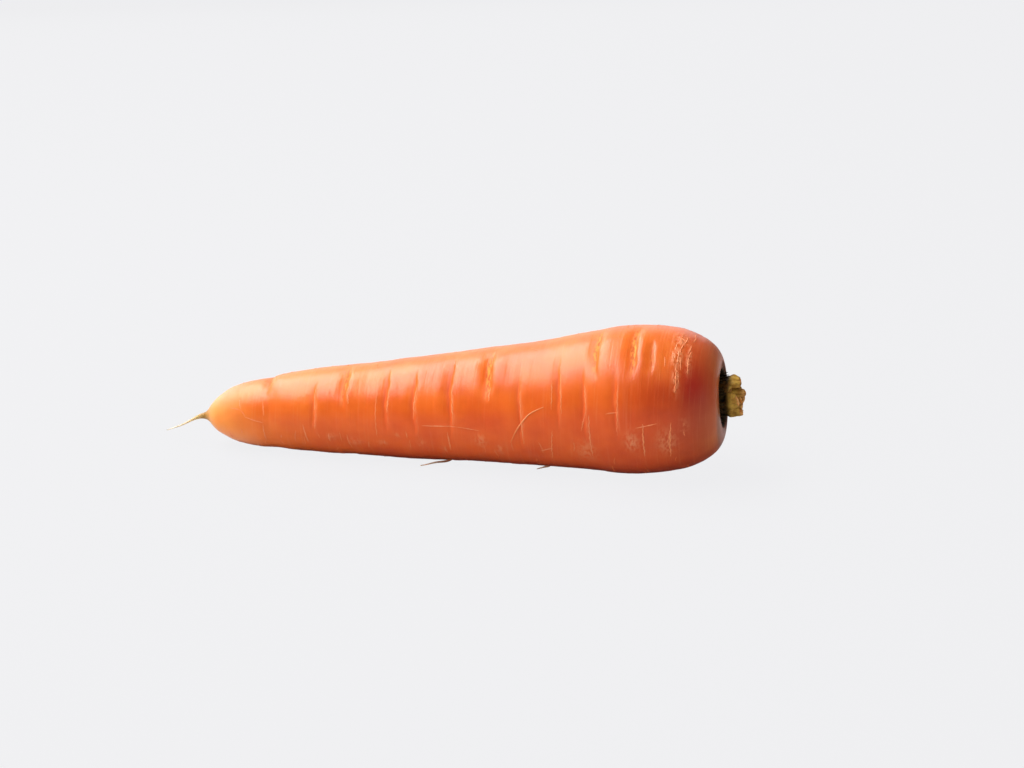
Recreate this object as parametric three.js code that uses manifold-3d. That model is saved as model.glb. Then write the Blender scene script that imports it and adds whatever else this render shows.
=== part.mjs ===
// A stocky, blunt-tipped carrot lying on its side, trimmed as it is sold: the orange taproot with its thin
// tail and rootlets, and the olive stubs of its leaf stalks standing in the hollow of the crown.
// Millimetres. X runs from the tail to the crown, Z is up, and the carrot rests on Z = 0.
import * as THREE from "three";
import { mergeVertices } from "three/addons/utils/BufferGeometryUtils.js";
import Module from "manifold-3d";

const wasm = await Module();
wasm.setup();

// Driving dimensions. "Along" is measured level from the root's blunt tip, so the tail is below 0.
const BODY_LENGTH = 164.5;
const SHOULDER_RADIUS = 22.85;
const TAIL_LENGTH = 14.6;
const RIM_RADIUS = 9.5;
const HOLLOW_DEPTH = 4.4;
const SOCKET_RADIUS = 6.2;
const SOCKET_DEPTH = 2.4;
const COLLAR_HEIGHT = 1.9;
const CROWN_RISE = 0.09;
const SQUARE_TO = 5;
const FIT_GAP = 0.35;

// Facets of the solid.
const SKIN_SIDES = 36;
const SKIN_STEP = 1.9;
const COLLAR_SIDES = 18;
const THREAD_SIDES = 6;
const THREAD_STEPS = 7;
const STALK_SIDES = 10;
const STALK_STEPS = 4;

// The root's outline, as [along, radius], from the tail to the rim of the crown's hollow.
const OUTLINE = [
  [-TAIL_LENGTH, 0.3],
  [-9, 0.4],
  [-5.4, 0.55],
  [-2.9, 0.85],
  [-1, 1.3],
  [0, 2.1],
  [1.2, 3.6],
  [2.8, 5.2],
  [5, 6.7],
  [8, 8.4],
  [12, 9.75],
  [17, 10.8],
  [22, 11.4],
  [27, 12.4],
  [35, 13.2],
  [48, 14.4],
  [61, 15.4],
  [76, 16.7],
  [91, 17.8],
  [104, 18.9],
  [116, 20.25],
  [126, 21.45],
  [133, 22.5],
  [140, SHOULDER_RADIUS],
  [147, 22.4],
  [153.5, 21.1],
  [158.3, 19.05],
  [161.4, 16.9],
  [163.4, 14.5],
  [164.3, 12.2],
  [BODY_LENGTH, RIM_RADIUS],
];

// The middle of the root, as [along, height above the surface it lies on, sideways sway].
const SPINE = [
  [-TAIL_LENGTH, 3.3, 0.4],
  [-9.2, 5.6, -0.2],
  [-5.4, 7.7, -0.3],
  [-2.9, 8.8, -0.1],
  [0, 9.15, 0],
  [8, 10.2, 0.2],
  [13, 10.8, 0.35],
  [18, 11.2, 0.5],
  [27, 12.1, 0.8],
  [35, 12.85, 1],
  [48, 13.8, 1.1],
  [61, 14.7, 1.2],
  [76, 16.0, 1.2],
  [91, 17.6, 1],
  [104, 18.85, 0.7],
  [116, 20.2, 0.4],
  [128, 21.6, 0.2],
  [140, 22.9, 0],
  [150, 23.7, -0.1],
  [158, 24.25, -0.2],
  [BODY_LENGTH, 24.75, -0.3],
];

// Creases across the root where its skin shows: [along, degrees round, half span in degrees, depth, width].
// Degrees round run from 0 on the +Y side over 90 on top and 180 on the -Y side to 270 underneath.
const CREASES = [
  [22, 113, 46, 0.85, 2.2],
  [37.8, 160, 46, 0.5, 2],
  [48.2, 128, 40, 0.75, 2.4],
  [61.6, 148, 48, 0.5, 2],
  [70.8, 156, 46, 0.55, 2],
  [82.8, 150, 56, 0.6, 2.1],
  [95.4, 130, 34, 1.2, 2.6],
  [105, 172, 46, 0.4, 2],
  [117.5, 154, 46, 0.35, 1.8],
  [125.3, 168, 42, 0.45, 2],
  [129.8, 118, 32, 0.7, 2.8],
  [135.2, 170, 38, 0.35, 2],
  [141, 120, 32, 1, 2.6],
  [146, 128, 20, 0.5, 1.8],
];

// Creases of the far side and underneath follow a rule: one every few millimetres, turned by the golden
// share, with its half span, depth and width taken from the same even spread.
const HIDDEN_CREASES = 22;
const HIDDEN_ALONG = [16, 150];
const HIDDEN_DEGREES = [245, 395];
const HIDDEN_SPAN = [26, 56];
const HIDDEN_DEPTH = [0.35, 0.8];
const HIDDEN_WIDTH = [1.9, 2.6];
const GOLDEN_SHARE = 0.618034;

// A crease's section in shares of its width: a gentle fall, a short step up and a raised lip.
const GROOVE_AT = -0.25;
const GROOVE_FALL = 1.2;
const GROOVE_STEP = 5;
const LIP_AT = 0.95;
const LIP_HEIGHT = 0.55;
const LIP_SPREAD = 1.6;
const CREASE_SLANT = -0.01;

// Low lobes round the section, as [waves round, height, twist along], and swells along the root.
const LOBES = [
  [2, 0.18, 0.03],
  [3, 0.14, -0.045],
];
const SWELL_HEIGHT = 0.1;
const SWELL_RATE = 0.21;
const SWELL_TWIST = 1.3;
const RELIEF_STARTS = [2, 16];
const CREASES_END = [152, 162];

// Fine rootlets: [along, degrees round, the end's offset from the skin in x, y and z, thickness].
const ROOTLETS = [
  [78, 238, [-7.8, -6.2, -0.9], 0.9],
  [109.5, 238, [-2.8, -2.2, -0.4], 0.9],
  [91, 62, [-2.4, 1.8, 2.4], 0.8],
  [48, 330, [-4, 3.6, -0.6], 0.8],
  [126, 20, [-2.2, 3, 0.4], 0.8],
];
const ROOTLET_SUNK = 1.4;
const ROOTLET_RISE = 0.7;
const ROOTLET_LEAST = 0.62;
const ROOTLET_BEND = [0.6, 0.35, 0.35];

// Leaf-stalk stubs: [ring radius at the cut, degrees round, length past the rim, half width, half thickness].
const STALKS = [
  [4.5, 0, 4.4, 2.6, 2.1],
  [5, 58, 5.9, 2.5, 2.2],
  [5.2, 112, 6, 2.5, 2.4],
  [4.4, 178, 5, 2.8, 2.2],
  [4.3, 240, 5.3, 2.6, 2.1],
  [4.4, 302, 4.6, 2.6, 2],
  [1.7, 82, 6.5, 2.1, 1.7],
  [1.9, 202, 5.6, 1.8, 1.5],
  [1.9, 322, 5.9, 1.8, 1.5],
];
const STALK_CUT_SLANT = 0.28;
const STALK_FOOT_SHARE = 0.62;
const STALK_FOOT_SIZE = 0.8;
const STALK_SPREADS = [0.12, 0.75];

const radians = THREE.MathUtils.degToRad;
const { clamp, lerp, smoothstep } = THREE.MathUtils;
const TURN = 2 * Math.PI;
const HOLLOW_FLOOR = BODY_LENGTH - HOLLOW_DEPTH;
const STALK_FOOT = HOLLOW_FLOOR - SOCKET_DEPTH + FIT_GAP;

// A smooth line through stations sorted by their first value, as cubic pieces with Catmull-Rom slopes.
function smoothLine(stations, column) {
  const at = stations.map((row) => row[0]);
  const value = stations.map((row) => row[column]);
  const last = at.length - 1;
  const slope = at.map((_, i) => {
    const before = Math.max(i - 1, 0);
    const after = Math.min(i + 1, last);
    return (value[after] - value[before]) / (at[after] - at[before]);
  });
  return (x) => {
    const passed = at.filter((a) => a <= x).length - 1;
    const i = clamp(passed, 0, last - 1);
    const span = at[i + 1] - at[i];
    const t = (x - at[i]) / span;
    const start = (1 + 2 * t) * (1 - t) ** 2 * value[i] + t * (1 - t) ** 2 * span * slope[i];
    return start + t * t * (3 - 2 * t) * value[i + 1] + t * t * (t - 1) * span * slope[i + 1];
  };
}

const spineHeight = smoothLine(SPINE, 1);
const spineSway = smoothLine(SPINE, 2);
const outlineRadius = smoothLine(OUTLINE, 1);

// A point of the spine, which runs on straight past the crown.
function spinePoint(along) {
  const inside = Math.min(along, BODY_LENGTH);
  return new THREE.Vector3(along, spineSway(inside), spineHeight(inside) + CROWN_RISE * (along - inside));
}

// The point that is a given distance from the spine at a place along it. Sections stand square to the
// spine's run over a few millimetres.
function aroundSpine(along, turn, radius) {
  const forward = spinePoint(along + SQUARE_TO).sub(spinePoint(along - SQUARE_TO)).normalize();
  const side = new THREE.Vector3(0, 0, 1).cross(forward).normalize();
  const up = forward.clone().cross(side);
  return spinePoint(along)
    .addScaledVector(side, Math.cos(turn) * radius)
    .addScaledVector(up, Math.sin(turn) * radius);
}

function hiddenCreases() {
  return Array.from({ length: HIDDEN_CREASES }, (_, i) => {
    const spread = (i * GOLDEN_SHARE) % 1;
    const other = (3 * i * GOLDEN_SHARE * GOLDEN_SHARE) % 1;
    return [
      lerp(...HIDDEN_ALONG, (i + other / 2) / HIDDEN_CREASES),
      lerp(...HIDDEN_DEGREES, spread),
      lerp(...HIDDEN_SPAN, other),
      lerp(...HIDDEN_DEPTH, spread),
      lerp(...HIDDEN_WIDTH, other),
    ];
  });
}

const ALL_CREASES = [...CREASES, ...hiddenCreases()];

// One crease's depth at a point of the skin, which fades towards both ends of the crease's span.
function creaseDepth([along, middle, halfSpan, depth, width], place, degrees) {
  const off = ((degrees - middle + 540) % 360) - 180;
  const reach = Math.abs(off) / halfSpan;
  if (reach >= 1) return 0;
  const fade = Math.cos((reach * Math.PI) / 2) ** 1.5;
  const across = (place - along - CREASE_SLANT * off) / width;
  const steepness = across < GROOVE_AT ? GROOVE_FALL : GROOVE_STEP;
  const groove = Math.exp(-steepness * (across - GROOVE_AT) ** 2);
  const lip = LIP_HEIGHT * Math.exp(-LIP_SPREAD * (across - LIP_AT) ** 2);
  return depth * fade * (groove - lip);
}

// How far the skin stands off its round outline: low lobes and swells, less the creases.
function skinRelief(along, turn) {
  const degrees = THREE.MathUtils.radToDeg(turn);
  const lobes = LOBES.reduce(
    (sum, [waves, height, twist]) => sum + height * Math.cos(waves * turn + twist * along),
    0,
  );
  const swells = SWELL_HEIGHT * Math.sin(SWELL_RATE * along + SWELL_TWIST * Math.cos(turn));
  const creases = ALL_CREASES.reduce((sum, crease) => sum + creaseDepth(crease, along, degrees), 0);
  const offCrown = 1 - smoothstep(along, ...CREASES_END);
  return smoothstep(along, ...RELIEF_STARTS) * (lobes + offCrown * (swells - creases));
}

function manifoldOf(points, corners) {
  return new wasm.Manifold(
    new wasm.Mesh({ numProp: 3, vertProperties: points, triVerts: new Uint32Array(corners) }),
  );
}

// A geometry's points as a solid that can be cut and joined, with its faces turned outwards.
function solidOf(geometry) {
  const bare = geometry.clone();
  bare.deleteAttribute("normal");
  bare.deleteAttribute("uv");
  const merged = mergeVertices(bare, 1e-4);
  const points = merged.attributes.position.array;
  const corners = [];
  for (let i = 0; i < merged.index.count; i += 3) {
    const [a, b, c] = merged.index.array.slice(i, i + 3);
    if (a !== b && b !== c && c !== a) corners.push(a, b, c);
  }
  const solid = manifoldOf(points, corners);
  return solid.volume() > 0 ? solid : manifoldOf(points, corners.reverse());
}

// A joined solid's one large body, with the small pockets that the joining sealed inside it filled.
function filled(solid) {
  return solid.decompose().reduce((largest, body) => (body.volume() > largest.volume() ? body : largest));
}

function geometryOf(solid) {
  const { vertProperties, triVerts } = solid.getMesh();
  const geometry = new THREE.BufferGeometry();
  geometry.setAttribute("position", new THREE.BufferAttribute(vertProperties, 3));
  geometry.setIndex(new THREE.BufferAttribute(triVerts, 1));
  geometry.computeVertexNormals();
  return geometry;
}

// Moves each point of a geometry to where place({ x, y, z }) says.
function reshaped(geometry, place) {
  const position = geometry.attributes.position;
  const point = new THREE.Vector3();
  for (let i = 0; i < position.count; i += 1) {
    const moved = place(point.fromBufferAttribute(position, i));
    position.setXYZ(i, moved.x, moved.y, moved.z);
  }
  return geometry;
}

// A profile of [radius, along] points turned about the spine.
function turnedAboutSpine(profile, sides, relief) {
  const points = profile.map(([radius, along]) => new THREE.Vector2(radius, along));
  const lathe = new THREE.LatheGeometry(points, sides);
  reshaped(lathe, ({ x, y, z }) => {
    const radius = Math.hypot(x, z);
    const turn = (Math.atan2(x, z) + TURN) % TURN;
    return aroundSpine(y, turn, radius + relief(radius, y, turn));
  });
  return solidOf(lathe);
}

// The taproot's skin, from the tail's end round the shoulder, into the crown's hollow and down its socket.
function skinSolid() {
  const stations = OUTLINE.map(([along, radius]) => new THREE.Vector3(radius, along, 0));
  const curve = new THREE.CatmullRomCurve3(stations, false, "centripetal");
  const steps = Math.round(curve.getLength() / SKIN_STEP);
  const outside = curve.getSpacedPoints(steps).map((point) => [point.x, point.y]);
  const hollow = [
    [RIM_RADIUS - 0.9, BODY_LENGTH - 0.5],
    [RIM_RADIUS - 1.3, BODY_LENGTH - 2],
    [RIM_RADIUS - 1.5, HOLLOW_FLOOR],
    [SOCKET_RADIUS, HOLLOW_FLOOR],
    [SOCKET_RADIUS, HOLLOW_FLOOR - SOCKET_DEPTH],
    [0, HOLLOW_FLOOR - SOCKET_DEPTH],
  ];
  return turnedAboutSpine([[0, -TAIL_LENGTH], ...outside, ...hollow], SKIN_SIDES, (radius, along, turn) => {
    const inHollow = radius < RIM_RADIUS && along > BODY_LENGTH / 2;
    return inHollow || along < 0 ? 0 : skinRelief(along, turn);
  });
}

// A tapered thread along a curve: a cylinder's rings, each set square to the curve.
function threadSolid(curve, thickness, leastThickness) {
  const frames = curve.computeFrenetFrames(THREAD_STEPS, false);
  const cylinder = new THREE.CylinderGeometry(1, 1, 1, THREAD_SIDES, THREAD_STEPS);
  reshaped(cylinder, ({ x, y, z }) => {
    const share = 0.5 - y;
    const ring = Math.round(share * THREAD_STEPS);
    const radius = lerp(thickness, leastThickness, share) / 2;
    return curve
      .getPoint(share)
      .addScaledVector(frames.normals[ring], x * radius)
      .addScaledVector(frames.binormals[ring], z * radius);
  });
  return solidOf(cylinder);
}

// A rootlet starts inside the skin, leaves it square, bends back along the root and then turns out to its
// end, above the surface it may lie on.
function rootletSolid([along, degrees, offset, thickness]) {
  const turn = radians(degrees);
  const skin = aroundSpine(along, turn, outlineRadius(along));
  const inside = aroundSpine(along, turn, outlineRadius(along) - ROOTLET_SUNK);
  const risen = aroundSpine(along, turn, outlineRadius(along) + ROOTLET_RISE);
  const end = new THREE.Vector3(...offset).add(skin);
  const bend = new THREE.Vector3(...ROOTLET_BEND);
  const middle = end.clone().sub(risen).multiply(bend).add(risen);
  const points = [inside, risen, middle, end];
  for (const point of points) point.z = Math.max(point.z, thickness / 2);
  return threadSolid(new THREE.CatmullRomCurve3(points), thickness, ROOTLET_LEAST);
}

// The root rests on the small flat strip that is left by cutting it off at Z = 0.
function taprootGeometry() {
  let solid = skinSolid();
  for (const rootlet of ROOTLETS) solid = solid.add(rootletSolid(rootlet));
  const below = new THREE.BoxGeometry(3 * BODY_LENGTH, 3 * BODY_LENGTH, BODY_LENGTH);
  below.translate(0, 0, -BODY_LENGTH / 2);
  return geometryOf(solid.subtract(solidOf(below)));
}

// One leaf-stalk stub: it rises from the socket, spreads to its place in the ring and is cut on a slant.
function stalkSolid([ring, degrees, pastRim, halfWidth, halfThickness]) {
  const cylinder = new THREE.CylinderGeometry(1, 1, 1, STALK_SIDES, STALK_STEPS);
  reshaped(cylinder, ({ x, y, z }) => {
    const share = y + 0.5;
    const spread = smoothstep(share, ...STALK_SPREADS);
    const size = lerp(STALK_FOOT_SIZE, 1, spread);
    const outward = ring * lerp(STALK_FOOT_SHARE, 1, spread) + z * halfThickness * size;
    const across = x * halfWidth * size;
    const cut = share === 1 ? STALK_CUT_SLANT * (x * halfWidth - z * halfThickness) : 0;
    const along = lerp(STALK_FOOT, BODY_LENGTH + pastRim, share) + cut;
    const turn = radians(degrees) + Math.atan2(across, outward);
    return aroundSpine(along, turn, Math.hypot(across, outward));
  });
  return solidOf(cylinder);
}

// The bunch of stubs stands on a low collar that fills the root's socket.
function stalkStubsGeometry() {
  const collarRadius = SOCKET_RADIUS - FIT_GAP;
  const collar = [
    [0, STALK_FOOT],
    [collarRadius, STALK_FOOT],
    [collarRadius, BODY_LENGTH + COLLAR_HEIGHT / 4],
    [collarRadius - 1.4, BODY_LENGTH + COLLAR_HEIGHT],
    [0, BODY_LENGTH + COLLAR_HEIGHT],
  ];
  let solid = turnedAboutSpine(collar, COLLAR_SIDES, () => 0);
  for (const stalk of STALKS) solid = solid.add(stalkSolid(stalk));
  return geometryOf(filled(solid));
}

const skinMaterial = new THREE.MeshStandardMaterial({ color: 0xe8682a, roughness: 0.42, metalness: 0 });
const stalkMaterial = new THREE.MeshStandardMaterial({ color: 0x8c6c2c, roughness: 0.75, metalness: 0 });

const taproot = new THREE.Mesh(taprootGeometry(), skinMaterial);
taproot.name = "taproot";
const stalkStubs = new THREE.Mesh(stalkStubsGeometry(), stalkMaterial);
stalkStubs.name = "leaf_stalk_stubs";

// The origin is at the middle of the carrot's box, on the surface that it lies on.
const carrot = new THREE.Group();
carrot.add(taproot, stalkStubs);
const boxMiddle = new THREE.Box3().setFromObject(carrot).getCenter(new THREE.Vector3());
carrot.position.set(-boxMiddle.x, -boxMiddle.y, 0);

export default carrot;
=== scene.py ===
"""A stocky, blunt-tipped carrot lying on its side, dressed round its packed solids.

Every surface is a grid of points worked out as whole arrays, in millimetres, and put into its mesh in metres.
X runs from the tail to the crown and Z is up. "Along" is measured level from the root's blunt tip, so the
tail is below 0. "Degrees round" run from 0 on the +Y side over 90 on top and 180 on the -Y side, which the
camera sees, to 270 underneath. Sines in the tables are (height, rate, share of the phase).
"""

import math

import bpy
import numpy as np
from bpy.props import FloatProperty, FloatVectorProperty, IntProperty, PointerProperty
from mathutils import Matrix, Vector


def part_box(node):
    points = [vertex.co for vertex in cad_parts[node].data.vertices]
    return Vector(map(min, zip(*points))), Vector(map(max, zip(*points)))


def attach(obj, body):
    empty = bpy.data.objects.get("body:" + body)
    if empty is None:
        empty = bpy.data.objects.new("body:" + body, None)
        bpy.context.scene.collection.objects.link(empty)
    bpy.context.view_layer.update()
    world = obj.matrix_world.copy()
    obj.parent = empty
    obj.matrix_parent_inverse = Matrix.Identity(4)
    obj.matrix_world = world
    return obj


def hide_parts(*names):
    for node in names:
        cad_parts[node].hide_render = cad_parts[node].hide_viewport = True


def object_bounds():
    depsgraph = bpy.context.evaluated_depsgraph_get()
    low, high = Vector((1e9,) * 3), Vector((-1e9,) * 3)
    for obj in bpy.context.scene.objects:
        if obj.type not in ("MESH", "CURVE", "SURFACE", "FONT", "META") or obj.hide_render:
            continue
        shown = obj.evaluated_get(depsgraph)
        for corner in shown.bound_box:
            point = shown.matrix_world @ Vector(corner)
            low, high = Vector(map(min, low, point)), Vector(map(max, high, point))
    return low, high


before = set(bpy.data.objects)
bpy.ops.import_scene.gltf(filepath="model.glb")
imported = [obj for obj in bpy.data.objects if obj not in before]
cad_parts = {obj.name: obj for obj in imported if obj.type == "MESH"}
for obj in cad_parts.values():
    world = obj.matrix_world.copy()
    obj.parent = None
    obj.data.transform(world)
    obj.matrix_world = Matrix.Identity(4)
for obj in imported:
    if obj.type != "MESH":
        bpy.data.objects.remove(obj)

bl_info = {
    "name": "Carrot",
    "version": (1, 0, 0),
    "blender": (4, 5, 0),
    "location": "3D View > Sidebar > Carrot",
    "description": "Dresses the solids of a carrot with its skin, scars, rootlets and cut leaf stalks",
    "category": "Add Mesh",
}

CAD_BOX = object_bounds()
BODY = "root"
MM = 0.001
TURN = 2 * math.pi

# The solids' own sizes, in millimetres.
BODY_LENGTH = 164.5
SHOULDER_RADIUS = 22.85
TAIL_LENGTH = 14.6
RIM_RADIUS = 9.5
HOLLOW_DEPTH = 4.4
SOCKET_RADIUS = 6.2
SOCKET_DEPTH = 2.4
CROWN_RISE = 0.09
SQUARE_TO = 5
FIT_GAP = 0.35
HOLLOW_FLOOR = BODY_LENGTH - HOLLOW_DEPTH
STALK_FOOT = HOLLOW_FLOOR - SOCKET_DEPTH + FIT_GAP

# The root's outline, as [along, radius], from the tail to the rim of the crown's hollow.
OUTLINE = [
    [-TAIL_LENGTH, 0.12],
    [-9, 0.28],
    [-5.4, 0.45],
    [-2.9, 0.8],
    [-1, 1.3],
    [0, 2.1],
    [1.2, 3.6],
    [2.8, 5.2],
    [5, 6.7],
    [8, 8.4],
    [12, 9.75],
    [17, 10.8],
    [22, 11.4],
    [27, 12.4],
    [35, 13.2],
    [48, 14.4],
    [61, 15.4],
    [76, 16.7],
    [91, 17.8],
    [104, 18.9],
    [116, 20.25],
    [126, 21.45],
    [133, 22.5],
    [140, SHOULDER_RADIUS],
    [147, 22.4],
    [153.5, 21.1],
    [158.3, 19.05],
    [161.4, 16.9],
    [163.4, 14.5],
    [164.3, 12.2],
    [BODY_LENGTH, RIM_RADIUS],
]

# The inside of the crown's hollow and its socket, as [along, radius], on from the rim.
HOLLOW = [
    [BODY_LENGTH, RIM_RADIUS],
    [BODY_LENGTH - 0.5, RIM_RADIUS - 0.9],
    [BODY_LENGTH - 2, RIM_RADIUS - 1.3],
    [HOLLOW_FLOOR, RIM_RADIUS - 1.5],
    [HOLLOW_FLOOR, SOCKET_RADIUS],
    [HOLLOW_FLOOR - SOCKET_DEPTH, SOCKET_RADIUS],
    [HOLLOW_FLOOR - SOCKET_DEPTH, 0.5],
]

# The middle of the root, as [along, height above the surface it lies on, sideways sway].
SPINE = [
    [-TAIL_LENGTH, 3.3, 0.4],
    [-9.2, 5.6, -0.2],
    [-5.4, 7.7, -0.3],
    [-2.9, 8.8, -0.1],
    [0, 9.15, 0],
    [8, 10.2, 0.2],
    [13, 10.8, 0.35],
    [18, 11.2, 0.5],
    [27, 12.1, 0.8],
    [35, 12.85, 1],
    [48, 13.8, 1.1],
    [61, 14.7, 1.2],
    [76, 16.0, 1.2],
    [91, 17.6, 1],
    [104, 18.85, 0.7],
    [116, 20.2, 0.4],
    [128, 21.6, 0.2],
    [140, 22.9, 0],
    [150, 23.7, -0.1],
    [158, 24.25, -0.2],
    [BODY_LENGTH, 24.75, -0.3],
]

# Creases where the photographed side shows. The dry ones gape a little and show yellower flesh.
# [along, degrees round, half span in degrees, depth, width, dryness]
CREASES = [
    [22.4, 104, 36, 0.85, 2.2, 0.15],
    [37.8, 160, 46, 0.5, 2, 0.1],
    [48.2, 128, 40, 0.75, 2.4, 0.5],
    [61.6, 148, 48, 0.5, 2, 0],
    [70.8, 156, 46, 0.55, 2, 0],
    [82.8, 150, 56, 0.6, 2.1, 0],
    [95.4, 130, 34, 1.2, 2.6, 1],
    [105, 172, 46, 0.4, 2, 0],
    [117.5, 154, 46, 0.35, 1.8, 0],
    [125.3, 168, 42, 0.45, 2, 0],
    [129.8, 118, 32, 0.7, 2.8, 0.8],
    [135.2, 170, 38, 0.35, 2, 0],
    [141, 120, 32, 1, 2.6, 1],
    [146, 128, 20, 0.5, 1.8, 0.3],
]

# Creases of the far side and underneath follow the golden share, as in the solids. Their spans and widths
# follow its square, so many steps a crease.
HIDDEN_CREASES = 22
HIDDEN_STEP = 3
HIDDEN_ALONG = (16, 150)
HIDDEN_DEGREES = (245, 395)
HIDDEN_SPAN = (26, 56)
HIDDEN_DEPTH = (0.05, 0.65)
HIDDEN_WIDTH = (1.9, 2.6)
GOLDEN_SHARE = 0.618034

# A crease's section in shares of its width: a gentle fall, a short step up, a sharp cut and a raised lip.
GROOVE_AT = -0.25
GROOVE_FALL = 1.2
GROOVE_STEP = 13
LIP_AT = 0.7
LIP_HEIGHT = 0.45
LIP_RISE = 2.2
LIP_FALL = 0.7
CUT_AT = -0.1
CUT_WIDTH = 0.12
CUT_DEPTH = 0.4

# A crease's line slants by so many millimetres a degree, wanders by sines of the degrees whose phase is its
# number, and fades to its ends by a power of the cosine.
CREASE_SLANT = -0.01
CREASE_WANDER = ((0.22, 0.13, 1), (0.11, 0.37, 2.3))
CREASE_FADE = 1.5

# Where the masks of a crease are across it, as the middle and width of a bell. The groove's mask carries
# painted shade, and the lip's a pale colour that is partly painted highlight. A mask is as strong as the
# crease is deep, plus a gain for the shallow ones, up to 1.
GROOVE_SHADE_MASK = (-0.3, 0.4)
PALE_LIP_AND_HIGHLIGHT_MASK = (0.35, 0.16)
DRY_MASK = (-0.3, 0.26)
SHALLOW_GAIN = 0.25

# Soft lobes of the root's section: [waves to a turn, height, twist a millimetre].
LOBES = [
    [2, 0.18, 0.03],
    [3, 0.14, -0.045],
]

# Swells along the root. The cosine of the turn times the twist shifts their sine.
SWELL_HEIGHT = 0.1
SWELL_RATE = 0.21
SWELL_TWIST = 1.3

# Stretches along the root over which the relief sets in, the creases end, and the painted top light starts
# and ends.
RELIEF_STARTS = (2, 16)
CREASES_END = (152, 162)
TOP_LIGHT_STARTS = (6, 40)
TOP_LIGHT_ENDS = (149, 159)

# The dark skin round the hollow, on the near and on the far side: how dark it is at the rim, and how far from
# the rim it starts to fade and ends.
RIM_DARKNESS = (0.3, 0.95)
RIM_FADE_STARTS = (0.0, 1.3)
RIM_FADE_ENDS = (2.0, 3.0)

# Soft noises of the skin's relief, of its rough patches, of the hollow's inside and of the dark rim's edge:
# [height, step along, cells to a turn, seed].
SKIN_WRINKLES = [
    [0.12, 8.0, 9, 1],
    [0.06, 3.1, 11, 7],
    [0.03, 1.4, 14, 2],
    [0.016, 0.8, 50, 3],
]
PATCH_LUMPS = [0.16, 0.8, 90, 4]
HOLLOW_TEAR = [0.3, 0.7, 44, 5]
RIM_TEAR = [0.6, 1.3, 22, 6]

# Rough pale patches of healed skin: [along, degrees round, half length, half span in degrees, strength].
PATCHES = [
    [42.8, 201, 1.6, 5, 0.45],
    [50.3, 208, 1.8, 6, 0.5],
    [59, 208, 1.4, 5, 0.4],
    [64.3, 195, 1.2, 3.5, 0.4],
    [71.9, 205, 1.3, 6, 0.35],
    [91.2, 201, 1.8, 7, 0.6],
    [97, 211, 1.1, 7, 0.4],
    [124.3, 209, 2.6, 9, 0.55],
    [139.1, 199, 2.0, 8, 0.85],
    [149.6, 201, 2.8, 10, 0.7],
    [155, 188, 1.3, 6, 0.4],
    [153.6, 108, 2.1, 9, 0.8],
    [153, 128, 1.5, 10, 1],
    [153, 149, 0.9, 11, 0.9],
    [156.5, 128, 0.9, 13, 0.7],
    [133, 300, 3, 9, 0.6],
    [88, 340, 2, 8, 0.5],
    [52, 30, 2, 9, 0.5],
    [146, 40, 2.4, 10, 0.7],
    [112, 275, 2, 9, 0.5],
]

# Where the skin turns dark red, in the same form: partly the shoulder's own colour, partly painted shade on
# the shoulder's near side and along the lower edge.
BLUSHES_AND_SHADE = [
    [158, 154, 5.5, 25, 1],
    [150, 161, 7, 15, 0.5],
    [148, 173, 8, 9, 0.4],
    [157, 330, 6, 40, 0.8],
    [154, 40, 5, 24, 0.5],
    [155, 250, 5, 22, 0.4],
    [110, 243, 60, 17, 0.6],
]

# Where the skin of the tip is paler, in the same form: partly its own paler skin, partly painted highlight
# and painted fill light.
PALE_TIP_AND_LIGHT = [
    [8, 114, 7, 32, 0.45],
    [9, 238, 9, 26, 0.35],
    [23, 108, 9, 26, 0.1],
    [10, 320, 7, 40, 0.35],
]

# Thin corky scars on the photographed side: [along, degrees round] at one end and at the other, and width.
SCARS = [
    [38.3, 134, 38.4, 168, 0.42],
    [38.4, 166, 37.6, 190, 0.3],
    [49.2, 133, 49.2, 157, 0.5],
    [58.6, 139, 57.7, 199, 0.26],
    [62.3, 141, 61.7, 168, 0.45],
    [71.6, 141, 70.3, 177, 0.45],
    [83.5, 141, 83.1, 183, 0.4],
    [95.8, 146, 95.2, 160, 0.5],
    [105.5, 146, 105, 204, 0.36],
    [115.4, 143, 115, 170, 0.28],
    [118, 131, 118.1, 174, 0.42],
    [125.9, 145, 125.9, 173, 0.36],
    [125.9, 172, 123.6, 190, 0.3],
    [126.7, 175, 125.8, 215, 0.36],
    [136.2, 153, 134.8, 193, 0.32],
    [131.8, 175, 135.9, 174, 0.3],
    [73, 183, 84, 185, 0.3],
    [84, 185, 91.5, 190, 0.24],
    [9.8, 153, 13.2, 159, 0.32],
    [13.2, 159, 14.5, 171, 0.26],
    [14.5, 171, 20.3, 181, 0.32],
    [143, 184, 142.3, 214, 0.46],
    [140.5, 187, 147.2, 184, 0.3],
    [114.6, 189, 112.7, 223, 0.34],
    [109.8, 212, 113.5, 208, 0.3],
    [33.7, 184, 34.3, 216, 0.34],
    [47.9, 197, 48.6, 222, 0.34],
    [80.8, 191, 80.5, 217, 0.3],
    [20.2, 184, 20.2, 218, 0.28],
    [31, 193, 30, 213, 0.26],
    [13, 133, 13.2, 158, 0.3],
    [20.6, 145, 20.9, 170, 0.28],
    [107.2, 103, 110, 108, 0.45],
    [151.4, 184, 150.2, 218, 0.5],
    [155.2, 99, 154.6, 112, 0.4],
    [153.2, 104, 154.8, 108, 0.42],
    [154.9, 108, 153.7, 124, 0.4],
    [152.6, 112, 152.4, 122, 0.36],
    [153.5, 119, 153.2, 137, 0.42],
    [151.9, 125, 152.2, 133, 0.32],
    [154.2, 128, 154.4, 140, 0.3],
    [152.9, 134, 152.8, 160, 0.44],
    [153.6, 141, 153.9, 152, 0.3],
    [156.7, 110, 156.2, 122, 0.3],
    [157.2, 118, 156.6, 127, 0.34],
    [156.5, 125, 156.4, 143, 0.3],
    [149.4, 129, 149.6, 138, 0.26],
    [157.4, 96, 157, 104, 0.3],
]

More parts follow.
